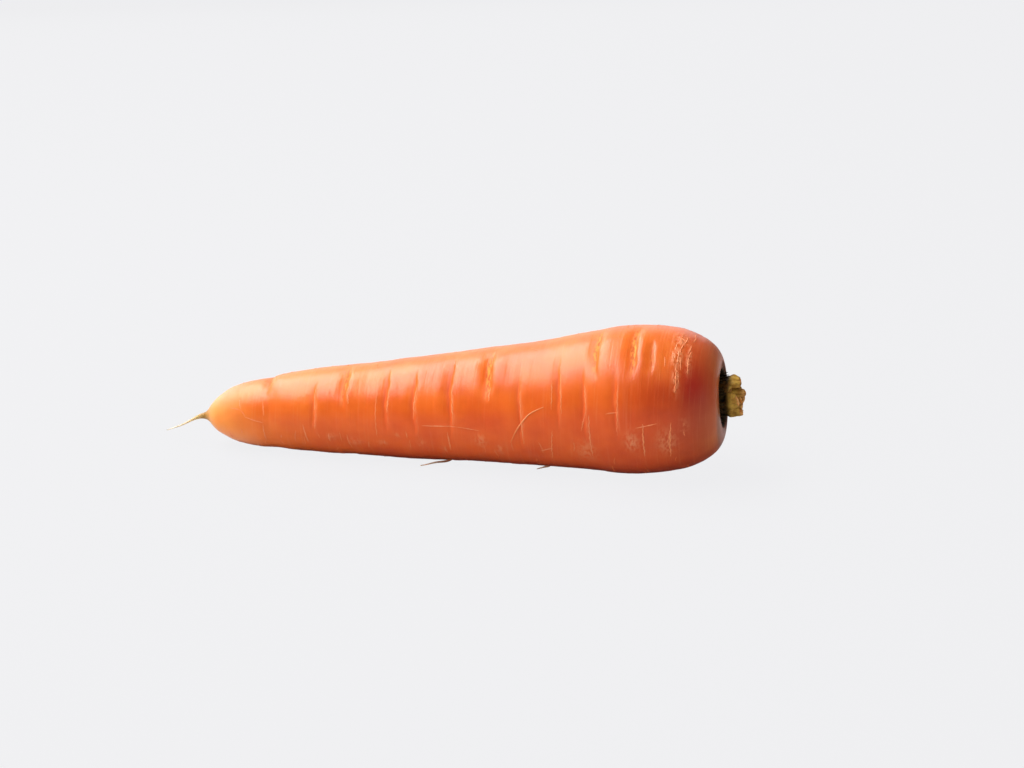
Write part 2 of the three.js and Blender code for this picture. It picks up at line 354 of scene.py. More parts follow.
# What is drawn for a named and for a stray scar, in this order, each between its limits.
SCAR_SEED = 11
NAMED_SCAR = {"bow": (-0.25, 0.25), "tone": (0.45, 0.85)}
STRAY_SCAR = {
    "along": (7, 160),
    "degrees": (190, 450),
    "span": (4, 20),
    "lean": (-0.8, 0.8),
    "width": (0.14, 0.34),
    "bow": (-0.3, 0.3),
    "tone": (0, 0.7),
}

# The sines of a scar's jitter, in shares of its width and in millimetres, and the two that make it ragged.
SCAR_WIDTH_JITTER = ((0.12, 19, 7),)
SCAR_JITTER = ((0.1, 43, 1),)
SCAR_RAGGED = ((0.35, 27, 3),)
SCAR_CRUMBLE = ((1, 11, 1),)
SCAR_ENDS = (0.02, 0.98)
SCAR_FLATNESS = 0.3
SCAR_LEAST_HEIGHT = 0.02

# A long rootlet that grew flat on the skin, as [along, degrees round].
CLINGING_ROOTLET = [
    [101, 202],
    [102.4, 193.5],
    [104.3, 185],
    [106.3, 178],
    [108.2, 173],
    [110.3, 170],
    [112.6, 167.5],
]
CLINGING_LIFT = 0.05
CLINGING_HALF_WIDTH = 0.21
CLINGING_FLATNESS = 0.9
CLINGING_ENDS = (0.03, 0.97)

# Fine rootlets: [along, degrees round, the end's offset from the skin in x, y and z, thickness].
ROOTLETS = [
    [77.6, 247, [-7.6, -6.4, -0.2], 1.1],
    [109.8, 246, [-3.2, -3.6, -0.3], 1.1],
    [91, 12, [-2.4, 3, 0.8], 0.8],
    [48, 330, [-4, 3.6, -0.6], 0.8],
    [126, 20, [-2.2, 3, 0.4], 0.8],
]
ROOTLET_SUNK = 1.2
ROOTLET_LEAD = 0.3
ROOTLET_RISE = 0.05
ROOTLET_BEND = (0.5, 0.4, 0.4)
ROOTLET_NORMAL = (0.31, 0.52, 0.8)
ROOTLET_WAVE = 0.08
ROOTLET_SINES = ((1, 9, 1), (1, 13, 2), (1, 7, 1))
ROOTLET_FLOOR = 0.15
ROOTLET_END = 0.14
ROOTLET_TAPER = 0.7

# What is drawn for a hair, each between its limits, with its lean away from the skin, its wave and its end.
ROOTLET_SEED = 23
HAIR_ALONG = (6, 155)
HAIR_DEGREES = (285, 410)
HAIR_LENGTHS = (0.35, 1)
HAIR_THICKNESS = (0.14, 0.26)
HAIR_TONES = (0, 0.4)
HAIR_SPREAD = (1.0, 0.5, 0.5)
HAIR_OUTWARD = 1.1
HAIR_WAVE = 0.3
HAIR_END = 0.04

# Leaf-stalk stubs: [ring radius at the cut, degrees round, length past the rim, half width, half thickness].
STALKS = [
    [4.5, 0, 4.6, 2.7, 2.2],
    [4.8, 58, 4.9, 2.7, 2.4],
    [5.1, 100, 5.4, 2.9, 2.0],
    [4.5, 180, 4.7, 2.9, 2.3],
    [4.4, 238, 5.4, 2.6, 2.2],
    [4.5, 300, 4.8, 2.7, 2.2],
    [1.2, 96, 6.5, 2.3, 1.9],
    [1.9, 202, 5.4, 2, 1.7],
    [1.9, 322, 5.8, 2, 1.7],
]
STALK_SEED = 31
STALK_FOOT_SHARE = 0.62
STALK_FOOT_SIZE = 0.8
STALK_SPREADS = (0.3, 0.92)

# A stub's section: its outer side as a range of the cosine, the ribs there, the lumps' rates along and round,
# and the flatter inner side with its channel.
STALK_OUTER_SIDE = (-0.3, 0.5)
STALK_RIBS = 9
STALK_RIB_HEIGHT = 0.03
STALK_LUMPS = 0.17
STALK_LUMP_RATES = ((15, 10), (2, -3))
STALK_INNER_SIZE = 0.85
STALK_CHANNEL = 0.3
STALK_CHANNEL_WIDTH = 0.5

# A stub's head: where it starts to be slanted and to round off, its size, the tear of its edge and its cap.
STALK_CUT_STARTS = 0.75
STALK_CUT_SLANT = 0.2
STALK_ROUNDS_AT = 0.7
STALK_HEAD_SIZE = 0.64
STALK_TEAR = ((0.16, 5, 1), (0.1, 11, 3))
STALK_CAP_STARTS = 0.96
CAP_ENDS = 0.05
STALK_DOME = 0.6
CUT_EDGE = (0.7, 0.96)

# Bundle ends of the cut face: how many to a turn, the share of the radius that they stand at, size and depth.
BUNDLES = 13.5
BUNDLE_RING = 0.66
BUNDLE_SIZE = 0.24
BUNDLE_DEPTH = 0.15

# Stubs nearer to the middle than this have pale heads.
INNER_RING = 3
PALE_HEAD = 0.8
PALE_HEAD_STARTS = (0.84, 0.98)

# The sheath that joins the stalks' feet: its least and most radius, the side of the most, its narrower foot,
# its ribs and its end, with a notch as degrees round, half span and depth.
SHEATH_RADIUS = (5.2, 5.9)
SHEATH_SIDE = 100
SHEATH_FOOT = 0.86
SHEATH_SPREADS = (0.3, 0.9)
SHEATH_RIBS = ((0.07, 17, 0), (0.05, 23, 4))
SHEATH_END = 3.6
SHEATH_NOTCH = (146, 15, 1.4)
SHEATH_TEAR = ((0.3, 6, 0), (0.18, 11, 1), (0.1, 31, 0))
SHEATH_TORN_FROM = (0.6, 1)
SHEATH_CAP_STARTS = 0.97
SHEATH_SINK = 1.2
SHEATH_CUT = 0.8
SHEATH_TONE = 0.3

# The scales, in millimetres from the innermost to the outermost: radius of the foot and of the tip, and
# height over the rim.
SCALE_FOOT = (6.8, 7.9)
SCALE_TIP = (6.7, 8.2)
SCALE_TOP = (2.3, 0)

# What is drawn for a scale: degrees that it is turned, how far its tip is drawn in and torn off, and its half
# width. The outer scales of the far side lean out over the hollow's rim by FAR_LEAN.
SCALE_SEED = 41
SCALE_TURNED = (-10, 10)
SCALE_DRAWN_IN = (0, 0.4)
SCALE_TORN_OFF = (0, 1.6)
SCALE_HALF_WIDTH = (0.6, 1.2)
FAR_LEAN = 1.5

# A scale's form from foot to tip.
SCALE_SUNK = 0.5
SCALE_BEND = 1.4
SCALE_TWIST = 0.12
SCALE_NARROWS = 0.9
SCALE_TAPER = 2.2
SCALE_RAGGED = ((0.2, 17, 1),)
SCALE_THICKNESS = (0.26, 0.07)

# Grid sizes: points along, points round.
SKIN_GRID = (540, 172)
HOLLOW_ROWS = 22
STALK_GRID = (26, 48)
STALK_CAP_ROWS = 12
SCAR_GRID = (22, 6)
ROOTLET_GRID = (30, 8)
SCALE_GRID = (12, 10)
CURVE_STEPS = 24
LATTICE_ROWS = 257

# The camera that the photograph's outline fits: its turn and height in degrees, then metres.
CAMERA_AZIMUTH = 10.983
CAMERA_ELEVATION = 16.526
CAMERA_DISTANCE = 0.88598
CAMERA_AIM = (0.019805, 0.0, 0.025161)
CAMERA_LENS = 100
CAMERA_SENSOR = 36

# The lights, in metres: each has its place, width and depth. The fills have a share of the fill power too.
LIGHT_AIM = (0.0, 0.0, 0.02)
KEY_LIGHT = ((-0.36, 0.01, 0.68), 1.0, 0.38)
BACK_LIGHT = ((-0.28, 0.75, 0.33), 1.1, 0.6)
FILL_LIGHTS = {
    "tail_fill": ((-0.9, -0.42, 0.1), 0.8, 0.5, 1.15),
    "crown_fill": ((0.9, -0.4, 0.08), 0.8, 0.5, 0.95),
}

# The floor, in metres: half its side and how far under the carrot it is. Then its glow, its share of shadow,
# and the strength of the room's light.
FLOOR_HALF = 4.0
FLOOR_DROP = 0.00005
FLOOR_GLOW = 0.96
FLOOR_SHADOW = 0.025
ROOM_LIGHT = 0.16

# Colours along the root and along the stalks, on the screen's scale of 0 to 255 or as the name of a setting.
SKIN_COLOURS = [
    [-TAIL_LENGTH, (234, 226, 206)],
    [-7, (226, 212, 176)],
    [-3.8, (200, 174, 112)],
    [-1.6, (150, 112, 46)],
    [0.1, (194, 136, 62)],
    [1.6, (238, 156, 74)],
    [5, (242, 142, 46)],
    [11, "tip_colour"],
    [20, (238, 117, 33)],
    [38, (236, 106, 27)],
    [62, "body_colour"],
    [126, "body_colour"],
    [140, (228, 90, 25)],
    [150, "shoulder_colour"],
    [157, (200, 84, 34)],
    [160.6, (188, 86, 40)],
    # Paler browns by the rim: partly the crown's own colour, partly a painted sheen.
    [162.8, (188, 94, 44)],
    [164.2, (188, 102, 54)],
    [BODY_LENGTH, (148, 86, 50)],
]
STALK_COLOURS = [
    [BODY_LENGTH - 2, (20, 14, 10)],
    [BODY_LENGTH + 0.8, (24, 17, 10)],
    [BODY_LENGTH + 1.5, (62, 48, 20)],
    [BODY_LENGTH + 2.2, (142, 114, 48)],
    [BODY_LENGTH + 3.2, "stalk_colour"],
    [BODY_LENGTH + 8, (190, 142, 66)],
]

# The other colours, on the same scale.
COLOURS = {
    "mottle": (240, 218, 200),
    "flesh_shade": (206, 104, 24),
    "flesh_fleck": (250, 172, 66),
    "hollow_shade": (24, 16, 13),
    "hollow_soil": (62, 44, 26),
    "rootlet_foot": (168, 92, 48),
    "clinging_foot": (232, 128, 66),
    "clinging_end": (240, 158, 100),
    "stalk_fibre": (112, 84, 34),
    "stalk_brown": (214, 188, 128),
    "side_stain": (150, 92, 30),
    "face_stain": (146, 88, 34),
    "face_edge": (112, 78, 30),
    "bundle": (206, 116, 40),
    "scale_tip": (40, 28, 16),
    "scale_olive_tip": (66, 50, 24),
    "scale_shade": (20, 14, 10),
    "floor_matt": (240, 240, 240),
    "floor_bounce": (181, 181, 183),
}

# The noise patterns: (cells a metre in x, y and z), detail, and the noise's range that the mask spreads.
PATTERNS = {
    "mottle": ((70, 90, 90), 4, 0.3, 0.7),
    "ring_lines": ((1700, 60, 60), 5, 0.52, 0.72),
    "torn_flesh": ((1500, 520, 520), 3, 0.42, 0.56),
    "ragged_lip": ((1300, 380, 380), 4, 0.3, 0.6),
    "patch_crumbs": ((1200, 700, 700), 3, 0.36, 0.62),
    "soil": ((500, 500, 500), 4, 0.35, 0.75),
    "pores": ((2600, 1500, 1500), 2, 0.4, 0.6),
    "scar_crumbs": ((1200, 1200, 1200), 3, 0.35, 0.7),
    "rootlet_grain": ((900, 900, 900), 3, 0.35, 0.7),
    "stalk_fibres": ((200, 900, 900), 4, 0.38, 0.66),
    "stains": ((520, 420, 420), 4, 0.42, 0.6),
    "stalk_grain": ((1300, 1300, 1300), 3, 0.4, 0.6),
    "scale_fibres": ((300, 1400, 1400), 3, 0.4, 0.65),
}

# How strongly each mark covers what is under it.
COVERS = {
    "upper": 0.4,
    "blush_and_shade": 0.9,
    "pale_rings": 0.35,
    "ring_lines": 0.28,
    "groove": 0.5,
    "flesh": 0.85,
    "lip": 0.45,
    "patch": 0.85,
    "scar_body": 0.55,
    "scar_crumbs": 0.4,
    "rootlet_grain": 0.3,
    "stalk_fibres": 0.4,
    "stalk_brown": 0.4,
    "side_stains": 0.35,
    "face_edge": 0.7,
    "scale_fibres": 0.5,
}

# The bumps: (height in metres, strength).
BUMPS = {
    "ring_lines": (0.00014, 0.5),
    "patch_crumbs": (0.00016, 0.8),
    "pores": (0.00006, 0.5),
    "scar_crumbs": (0.0001, 0.6),
    "rootlet_grain": (0.00008, 0.5),
    "stalk_fibres": (0.0005, 0.7),
    "stalk_grain": (0.00015, 0.6),
    "scale_fibres": (0.0003, 0.8),
}

# The shaders' own values. The rootlets and the scales turn paler over these shares of their length.
ROUGHNESS = {
    "marked_skin": 0.68,
    "hollow": 0.9,
    "scar": 0.62,
    "rootlet": 0.7,
    "stalk_side": 0.66,
    "stalk_cut": 0.85,
    "scale": 0.9,
}
SPECULAR = {"skin": 0.42, "stalk": 0.2, "scale": 0.1}
SUBSURFACE_WEIGHT = 0.12
SUBSURFACE_RADIUS = (1.0, 0.35, 0.12)
SUBSURFACE_SCALE = 0.0022
ROOTLET_PALES = (0.15, 0.75)
SCALE_PALES = (0.5, 1.0)

# The mix node's sockets for its two colours and for its result.
MIX_COLOURS = (6, 7)
MIX_RESULT = 2

# The curve of the screen's scale: straight up to its knee, then a power.
SCREEN_KNEE = 0.04045
SCREEN_SLOPE = 12.92
SCREEN_SHIFT = 0.055
SCREEN_POWER = 2.4


def linear(red, green, blue):
    """A screen colour of 0 to 255 a channel as the linear colour that a shader takes. A channel's share is
    divided by the slope up to the knee. Above it, it is shifted, brought back to at most 1 and raised to the
    power."""
    shares = [channel / 255 for channel in (red, green, blue)]
    return tuple(
        s / SCREEN_SLOPE if s <= SCREEN_KNEE else ((s + SCREEN_SHIFT) / (1 + SCREEN_SHIFT)) ** SCREEN_POWER
        for s in shares
    )


class CarrotSkinSettings(bpy.types.PropertyGroup):
    """The root's skin."""

    tip_colour: FloatVectorProperty(
        name="Tip colour",
        description="Skin colour of the blunt tip",
        subtype="COLOR", size=3, min=0, max=1, default=linear(240, 134, 44),
    )
    body_colour: FloatVectorProperty(
        name="Body colour",
        description="Skin colour of the middle of the root",
        subtype="COLOR", size=3, min=0, max=1, default=linear(234, 97, 24),
    )
    shoulder_colour: FloatVectorProperty(
        name="Shoulder colour",
        description="Skin colour of the shoulder near the crown",
        subtype="COLOR", size=3, min=0, max=1, default=linear(216, 84, 26),
    )
    # Painted light: the yellower colour that the upper side leans to, as if lit from above.
    top_light_colour: FloatVectorProperty(
        name="Top_light colour",
        description="Yellower colour that the skin of the upper side leans to",
        subtype="COLOR", size=3, min=0, max=1, default=linear(238, 142, 40),
    )
    # Partly the shoulder's own dark red, partly painted shade on its near side and along the lower edge.
    blush_and_shade_colour: FloatVectorProperty(
        name="Blush colour",
        description="Dark red of the shoulder's blushes",
        subtype="COLOR", size=3, min=0, max=1, default=linear(162, 30, 18),
    )
    # Partly the tip's own paler skin, partly painted highlight and painted light on the tip.
    pale_tip_and_light_colour: FloatVectorProperty(
        name="Bleached colour",
        description="Pale peach of the bleached skin at the tip",
        subtype="COLOR", size=3, min=0, max=1, default=linear(250, 198, 176),
    )
    # Painted shade at the bottom of the creases.
    crease_shade_colour: FloatVectorProperty(
        name="Groove colour",
        description="Colour at the bottom of the creases",
        subtype="COLOR", size=3, min=0, max=1, default=linear(196, 60, 14),
    )
    scar_colour: FloatVectorProperty(
        name="Scar colour",
        description="Colour of the thin corky scars and of the rough patches",
        subtype="COLOR", size=3, min=0, max=1, default=linear(240, 156, 104),
    )
    gloss_roughness: FloatProperty(
        name="Roughness",
        description="Roughness of the unmarked skin",
        subtype="FACTOR", min=0, max=1, default=0.37,
    )
    stray_scars: IntProperty(
        name="Stray scars",
        description="How many small scars are strewn round the root besides the named ones",
        min=0, max=400, default=190,
    )


class CarrotRootletSettings(bpy.types.PropertyGroup):
    """The fine rootlets and the hairs."""

    hair_length: FloatProperty(
        name="Hair length",
        description="Longest of the fine hairs",
        unit="LENGTH", min=0, max=0.02, default=0.004,
    )
    hairs: IntProperty(
        name="Hairs",
        description="How many fine hairs grow from the skin",
        min=0, max=200, default=26,
    )
    fibre_colour: FloatVectorProperty(
        name="Fibre colour",
        description="Colour of the dry end of a rootlet",
        subtype="COLOR", size=3, min=0, max=1, default=linear(226, 202, 172),
    )


class CarrotCrownSettings(bpy.types.PropertyGroup):
    """The cut leaf stalks and the dark tissue round their foot."""

    stalk_colour: FloatVectorProperty(
        name="Stalk colour",
        description="Colour of the stalks' sides",
        subtype="COLOR", size=3, min=0, max=1, default=linear(198, 160, 72),
    )
    pith_colour: FloatVectorProperty(
        name="Pith colour",
        description="Colour of the stalks' cut faces",
        subtype="COLOR", size=3, min=0, max=1, default=linear(212, 158, 94),
    )
    scale_colour: FloatVectorProperty(
        name="Scale colour",
        description="Colour of the dark remnants in the crown's hollow",
        subtype="COLOR", size=3, min=0, max=1, default=linear(40, 27, 20),
    )
    scales: IntProperty(
        name="Scales",
        description="How many torn remnants stand round the foot of the stalks",
        min=0, max=120, default=60,
    )


class CarrotStageSettings(bpy.types.PropertyGroup):
    """The pale floor and the soft studio light."""

    floor_colour: FloatVectorProperty(
        name="Floor colour",
        description="Colour of the floor and of what is behind it",
        subtype="COLOR", size=3, min=0, max=1, default=linear(243, 243, 245),
    )
    key_power: FloatProperty(
        name="Key light",
        description="Power of the large soft light overhead, on the tail's side",
        unit="POWER", min=0, max=100, default=11.2,
    )
    back_power: FloatProperty(
        name="Back light",
        description="Power of the low wide light behind the carrot, like a bright backdrop",
        unit="POWER", min=0, max=100, default=2.5,
    )
    fill_power: FloatProperty(
        name="Fill lights",
        description="Power of the soft lights low in front of both ends, which the skin doesn't mirror",
        unit="POWER", min=0, max=100, default=5.2,
    )


def smoothstep(value, low, high):
    """0 below low, 1 above high, and 3s^2 - 2s^3 of the share s between them."""
    share = np.clip((value - low) / (high - low), 0, 1)
    return share * share * (3 - 2 * share)


def lerp(start, end, share):
    """The value a share of the way from start to end."""
    return start + (end - start) * share


def unit(vectors):
    """Vectors divided by their lengths."""
    return vectors / np.linalg.norm(vectors, axis=-1, keepdims=True)


def bell(value, middle, width):
    """1 at the middle, and e to the less of the squared distance in widths elsewhere."""
    return np.exp(-(((value - middle) / width) ** 2))


def lopsided_bell(value, middle, before, after):
    """e to the less of a steepness times the squared distance, with one steepness before the middle and
    another after it."""
    return np.exp(-np.where(value < middle, before, after) * (value - middle) ** 2)


def waves(sines, value, phase):
    """The sum of sines of a value, each with its height, its rate and its share of the phase."""
    return sum(height * np.sin(rate * value + part * phase) for height, rate, part in sines)


def degrees_off(degrees, middle):
    """How far places round the root are from a middle, from -180 to 180 degrees."""
    return (degrees - middle + 180) % 360 - 180


def smooth_line(stations, column):
    """A line through stations sorted by their first value: cubic pieces whose slope at a station is the rise
    between its two neighbours over their distance."""
    at = np.array([row[0] for row in stations], float)
    value = np.array([row[column] for row in stations], float)
    order = np.arange(len(at))
    before = np.maximum(order - 1, 0)
    after = np.minimum(order + 1, len(at) - 1)
    slope = (value[after] - value[before]) / (at[after] - at[before])

    def line(x):
        i = np.clip(np.searchsorted(at, x, side="right") - 1, 0, len(at) - 2)
        span = at[i + 1] - at[i]
        t = (x - at[i]) / span
        start = (1 + 2 * t) * (1 - t) ** 2 * value[i] + t * (1 - t) ** 2 * span * slope[i]
        return start + t * t * (3 - 2 * t) * value[i + 1] + t * t * (t - 1) * span * slope[i + 1]

    return line


def curve_through(points):
    """A curve through points: centripetal Catmull-Rom pieces, whose knots are the square roots of the
    distances between neighbours, each taken at CURVE_STEPS places."""
    points = np.array(points, float)
    first = 2 * points[0] - points[1]
    last = 2 * points[-1] - points[-2]
    knots = np.vstack([first, points, last])
    steps = np.sqrt(np.linalg.norm(np.diff(knots, axis=0), axis=1))[:, None]
    p0, p1, p2, p3 = knots[:-3], knots[1:-2], knots[2:-1], knots[3:]
    d0, d1, d2 = steps[:-2], steps[1:-1], steps[2:]
    leaves = ((p1 - p0) / d0 - (p2 - p0) / (d0 + d1) + (p2 - p1) / d1) * d1
    arrives = ((p2 - p1) / d1 - (p3 - p1) / (d1 + d2) + (p3 - p2) / d2) * d1
    t = np.linspace(0, 1, CURVE_STEPS, endpoint=False)[None, :, None]
    p1, p2, leaves, arrives = (part[:, None, :] for part in (p1, p2, leaves, arrives))
    square = 3 * (p2 - p1) - 2 * leaves - arrives
    cube = 2 * (p1 - p2) + leaves + arrives
    pieces = p1 + leaves * t + square * t**2 + cube * t**3
    return np.vstack([pieces.reshape(-1, points.shape[1]), points[-1:]])


def evenly(points, count):
    """The same line of points taken at count places, equally far apart along it."""
    lengths = np.linalg.norm(np.diff(points, axis=0), axis=1)
    passed = np.concatenate([[0], np.cumsum(lengths)])
    at = np.linspace(0, passed[-1], count)
    return np.stack([np.interp(at, passed, column) for column in points.T], axis=-1)


spine_height = smooth_line(SPINE, 1)
spine_sway = smooth_line(SPINE, 2)
OUTLINE_CURVE = curve_through(OUTLINE)


def outline_radius(along):
    """The outline's radius at a place along the root, between the two nearest points of its curve."""
    return np.interp(along, OUTLINE_CURVE[:, 0], OUTLINE_CURVE[:, 1])


def spine_point(along):
    """The spine's point at a place along it, which runs on straight past the crown."""
    inside = np.minimum(along, BODY_LENGTH)
    height = spine_height(inside) + CROWN_RISE * (along - inside)
    return np.stack([along, spine_sway(inside), height], axis=-1)


def around_spine(along, turn, radius):
    """The point a radius away from the spine: the spine's point, plus the radius times the cosine of the turn
    to the side and its sine upwards, square to the spine's run over a few millimetres."""
    along, turn, radius = np.broadcast_arrays(along, turn, radius)
    forward = unit(spine_point(along + SQUARE_TO) - spine_point(along - SQUARE_TO))
    side = unit(np.cross([0.0, 0.0, 1.0], forward))
    up = np.cross(forward, side)
    sideways = side * (np.cos(turn) * radius)[..., None]
    upwards = up * (np.sin(turn) * radius)[..., None]
    return spine_point(along) + sideways + upwards


def soft_noise(along, turn, height, step, cells, seed):
    """Smooth random values up to a height either way: a random lattice that closes round the root, step
    millimetres apart along it and with cells to a turn, blended between its four nearest points by
    smoothstep."""
    lattice = np.random.default_rng(seed).uniform(-1, 1, (LATTICE_ROWS, cells))
    a = along / step
    b = turn / TURN * cells
    row, column = np.floor(a).astype(int), np.floor(b).astype(int)
    u, v = smoothstep(a - row, 0, 1), smoothstep(b - column, 0, 1)
    left, right = column % cells, (column + 1) % cells
    rows = (row % LATTICE_ROWS, (row + 1) % LATTICE_ROWS)
    low, high = (lerp(lattice[line, left], lattice[line, right], v) for line in rows)
    return height * lerp(low, high, u)


def hidden_creases():
    """Creases of the unseen sides: one every few millimetres, turned and sized by the golden share."""
    made = []
    for i in range(HIDDEN_CREASES):
        spread = (i * GOLDEN_SHARE) % 1
        other = (i * HIDDEN_STEP * GOLDEN_SHARE * GOLDEN_SHARE) % 1
        made.append([
            lerp(*HIDDEN_ALONG, (i + other / 2) / HIDDEN_CREASES),
            lerp(*HIDDEN_DEGREES, spread),
            lerp(*HIDDEN_SPAN, other),
            lerp(*HIDDEN_DEPTH, spread),
            lerp(*HIDDEN_WIDTH, other),
            spread,
        ])
    return made


ALL_CREASES = CREASES + hidden_creases()


def crease_parts(place, degrees):
    """The creases' depth at points of the skin, with the shares of groove (painted shade), of lip (partly
    painted highlight) and of dry flesh there.
    Each crease fades to its ends by a power of a cosine. Across it runs a bell that falls gently and rises
    steeply, less a bell for the lip, which rises more steeply than it falls, plus a narrow bell for the cut
    between them. Its line slants and wanders by two sines. The shares are bells too, the highest of all
    creases."""
    depth_there = np.zeros(np.broadcast(place, degrees).shape)
    groove_shade_share, pale_lip_and_highlight_share, dry_share = (depth_there.copy() for _ in range(3))
    for number, (along, middle, half_span, depth, width, dryness) in enumerate(ALL_CREASES):
        off = degrees_off(degrees, middle)
        reach = np.minimum(np.abs(off) / half_span, 1)
        fade = np.cos(reach * math.pi / 2) ** CREASE_FADE
        wander = waves(CREASE_WANDER, off, number)
        across = (place - along - CREASE_SLANT * off - wander) / width
        groove = lopsided_bell(across, GROOVE_AT, GROOVE_FALL, GROOVE_STEP)
        lip = lopsided_bell(across, LIP_AT, LIP_RISE, LIP_FALL)
        cut = bell(across, CUT_AT, CUT_WIDTH)
        depth_there += depth * fade * (groove - LIP_HEIGHT * lip + CUT_DEPTH * cut)
        strength = fade * min(depth + SHALLOW_GAIN, 1)
        groove_shade_share = np.maximum(groove_shade_share, strength * bell(across, *GROOVE_SHADE_MASK))
        pale_lip_and_highlight_share = np.maximum(pale_lip_and_highlight_share, strength * bell(across, *PALE_LIP_AND_HIGHLIGHT_MASK))
        dry_share = np.maximum(dry_share, dryness * fade * bell(across, *DRY_MASK))
    return depth_there, groove_shade_share, pale_lip_and_highlight_share, dry_share


def bells(marks, along, degrees):
    """How much of a kind of mark there is at points of the skin: the highest of the marks' strengths, each
    times a bell of its half length along and a bell of its half span round."""
    share = np.zeros(np.broadcast(along, degrees).shape)
    for middle, centre, half_length, half_span, strength in marks:
        there = bell(along, middle, half_length) * bell(degrees_off(degrees, centre), 0, half_span)
        share = np.maximum(share, strength * there)
    return share


def skin_relief(along, turn):
    """How far the skin stands off its round outline: lobes as cosines of the turn, swells as a sine along the
    root, less the creases, plus fine wrinkles and lumps on the rough patches."""
    degrees = np.degrees(turn)
    lobes = sum(height * np.cos(count * turn + twist * along) for count, height, twist in LOBES)
    swells = SWELL_HEIGHT * np.sin(SWELL_RATE * along + SWELL_TWIST * np.cos(turn))
    creases = crease_parts(along, degrees)[0]
    off_crown = 1 - smoothstep(along, *CREASES_END)
    wrinkles = sum(soft_noise(along, turn, *noise) for noise in SKIN_WRINKLES)
    lumps = bells(PATCHES, along, degrees) * (PATCH_LUMPS[0] + soft_noise(along, turn, *PATCH_LUMPS))
    return smoothstep(along, *RELIEF_STARTS) * (lobes + off_crown * (swells - creases) + wrinkles + lumps)


def skin_point(along, degrees, lift):
    """A point a lift above the dressed skin."""
    turn = np.radians(degrees % 360)
    return around_spine(along, turn, outline_radius(along) + skin_relief(along, turn) + lift)


def skin_rings():
    """The skin's rings of points from the tail's end over the rim into the socket, with the place along and
    the degrees round of each point, whether it is inside the hollow, and how far it is from the rim."""
    outside = evenly(OUTLINE_CURVE, SKIN_GRID[0])
    inside = evenly(np.array(HOLLOW, float), HOLLOW_ROWS)[1:]
    profile = np.vstack([outside, inside])
    along, radius = profile[:, :1], profile[:, 1:]
    turn = np.linspace(0, TURN, SKIN_GRID[1], endpoint=False)[None, :]
    in_hollow = np.arange(len(profile))[:, None] >= len(outside)
    torn = soft_noise(along, turn, *HOLLOW_TEAR)
    relief = np.where(in_hollow, torn, np.where(along < 0, 0, skin_relief(along, turn)))
    off_rim = np.hypot(along - BODY_LENGTH, radius - RIM_RADIUS)
    return around_spine(along, turn, radius + relief), along, np.degrees(turn), in_hollow, off_rim


def dark_rim(off_rim, degrees):
    """How dark the skin is round the hollow: full at the rim and fading with the distance from it, less a
    ragged noise, by smoothstep. Towards the far side, by the root of the cosine, it is darker and reaches
    further."""
    far = np.sqrt(np.clip(np.cos(np.radians(degrees)), 0, 1))
    ragged = soft_noise(off_rim, np.radians(degrees), *RIM_TEAR)
    fade = smoothstep(off_rim + ragged, lerp(*RIM_FADE_STARTS, far), lerp(*RIM_FADE_ENDS, far))
    return lerp(*RIM_DARKNESS, far) * (1 - fade)


def placement():
    """The shift from the root's own origin to the frame's: it puts the middle of the dressed skin's box on
    the middle of the solid's."""
    low, high = (np.array(corner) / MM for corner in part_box("taproot"))
    points = skin_rings()[0].reshape(-1, 3)
    shift = (low + high) / 2 - (points.min(axis=0) + points.max(axis=0)) / 2
    return np.array([shift[0], shift[1], 0.0])


SHIFT = placement()


def place_in_frame(points):
    """Points in millimetres of the root's own frame, moved to the frame, given in metres and held inside the
    solids' box. Its floor cuts the root's strip off flat, where it lies on the surface."""
    low, high = (np.array(corner) for corner in CAD_BOX)
    return np.clip((points + SHIFT) * MM, low, high)


def tube_piece(name, rings, masks, unwrapped=False):
    """A mesh of closed tubes from rings of points, shaped (tubes, rings, points round, 3): quads between
    neighbouring rings, and a fan of triangles to the middle of each end ring. Masks are values for each
    point, which the middle of an end ring takes over as its mean."""
    tubes, rows, columns, _ = rings.shape
    body = tubes * rows * columns
    ends = rings[:, [0, -1]].mean(axis=2)
    points = np.vstack([rings.reshape(-1, 3), ends.reshape(-1, 3)])
    number = np.arange(body).reshape(tubes, rows, columns)
    onward = np.roll(number, -1, axis=2)
    corners = [number[:, :-1], onward[:, :-1], onward[:, 1:], number[:, 1:]]
    quads = np.stack(corners, axis=-1).reshape(-1, 4)
    middle = body + np.arange(tubes)[:, None] * 2
    start = np.stack(np.broadcast_arrays(middle, onward[:, 0], number[:, 0]), axis=-1).reshape(-1, 3)
    end = np.stack(np.broadcast_arrays(middle + 1, number[:, -1], onward[:, -1]), axis=-1).reshape(-1, 3)
    mesh = bpy.data.meshes.new(name)
    faces = quads.tolist() + start.tolist() + end.tolist()
    mesh.from_pydata(place_in_frame(points).tolist(), [], faces)
    mesh.polygons.foreach_set("use_smooth", np.ones(len(faces), bool))
    for key, values in masks.items():
        spread = np.broadcast_to(values, rings.shape[:3])
        tips = spread[:, [0, -1]].mean(axis=2)
        everywhere = np.concatenate([spread.ravel(), tips.ravel()]).astype(np.float32)
        mesh.attributes.new(key, "FLOAT", "POINT").data.foreach_set("value", everywhere)
    if unwrapped:
        unwrap_rings(mesh, rows, columns)
    mesh.validate()
    mesh.update()
    piece = bpy.data.objects.new(name, mesh)
    bpy.context.scene.collection.objects.link(piece)
    return piece


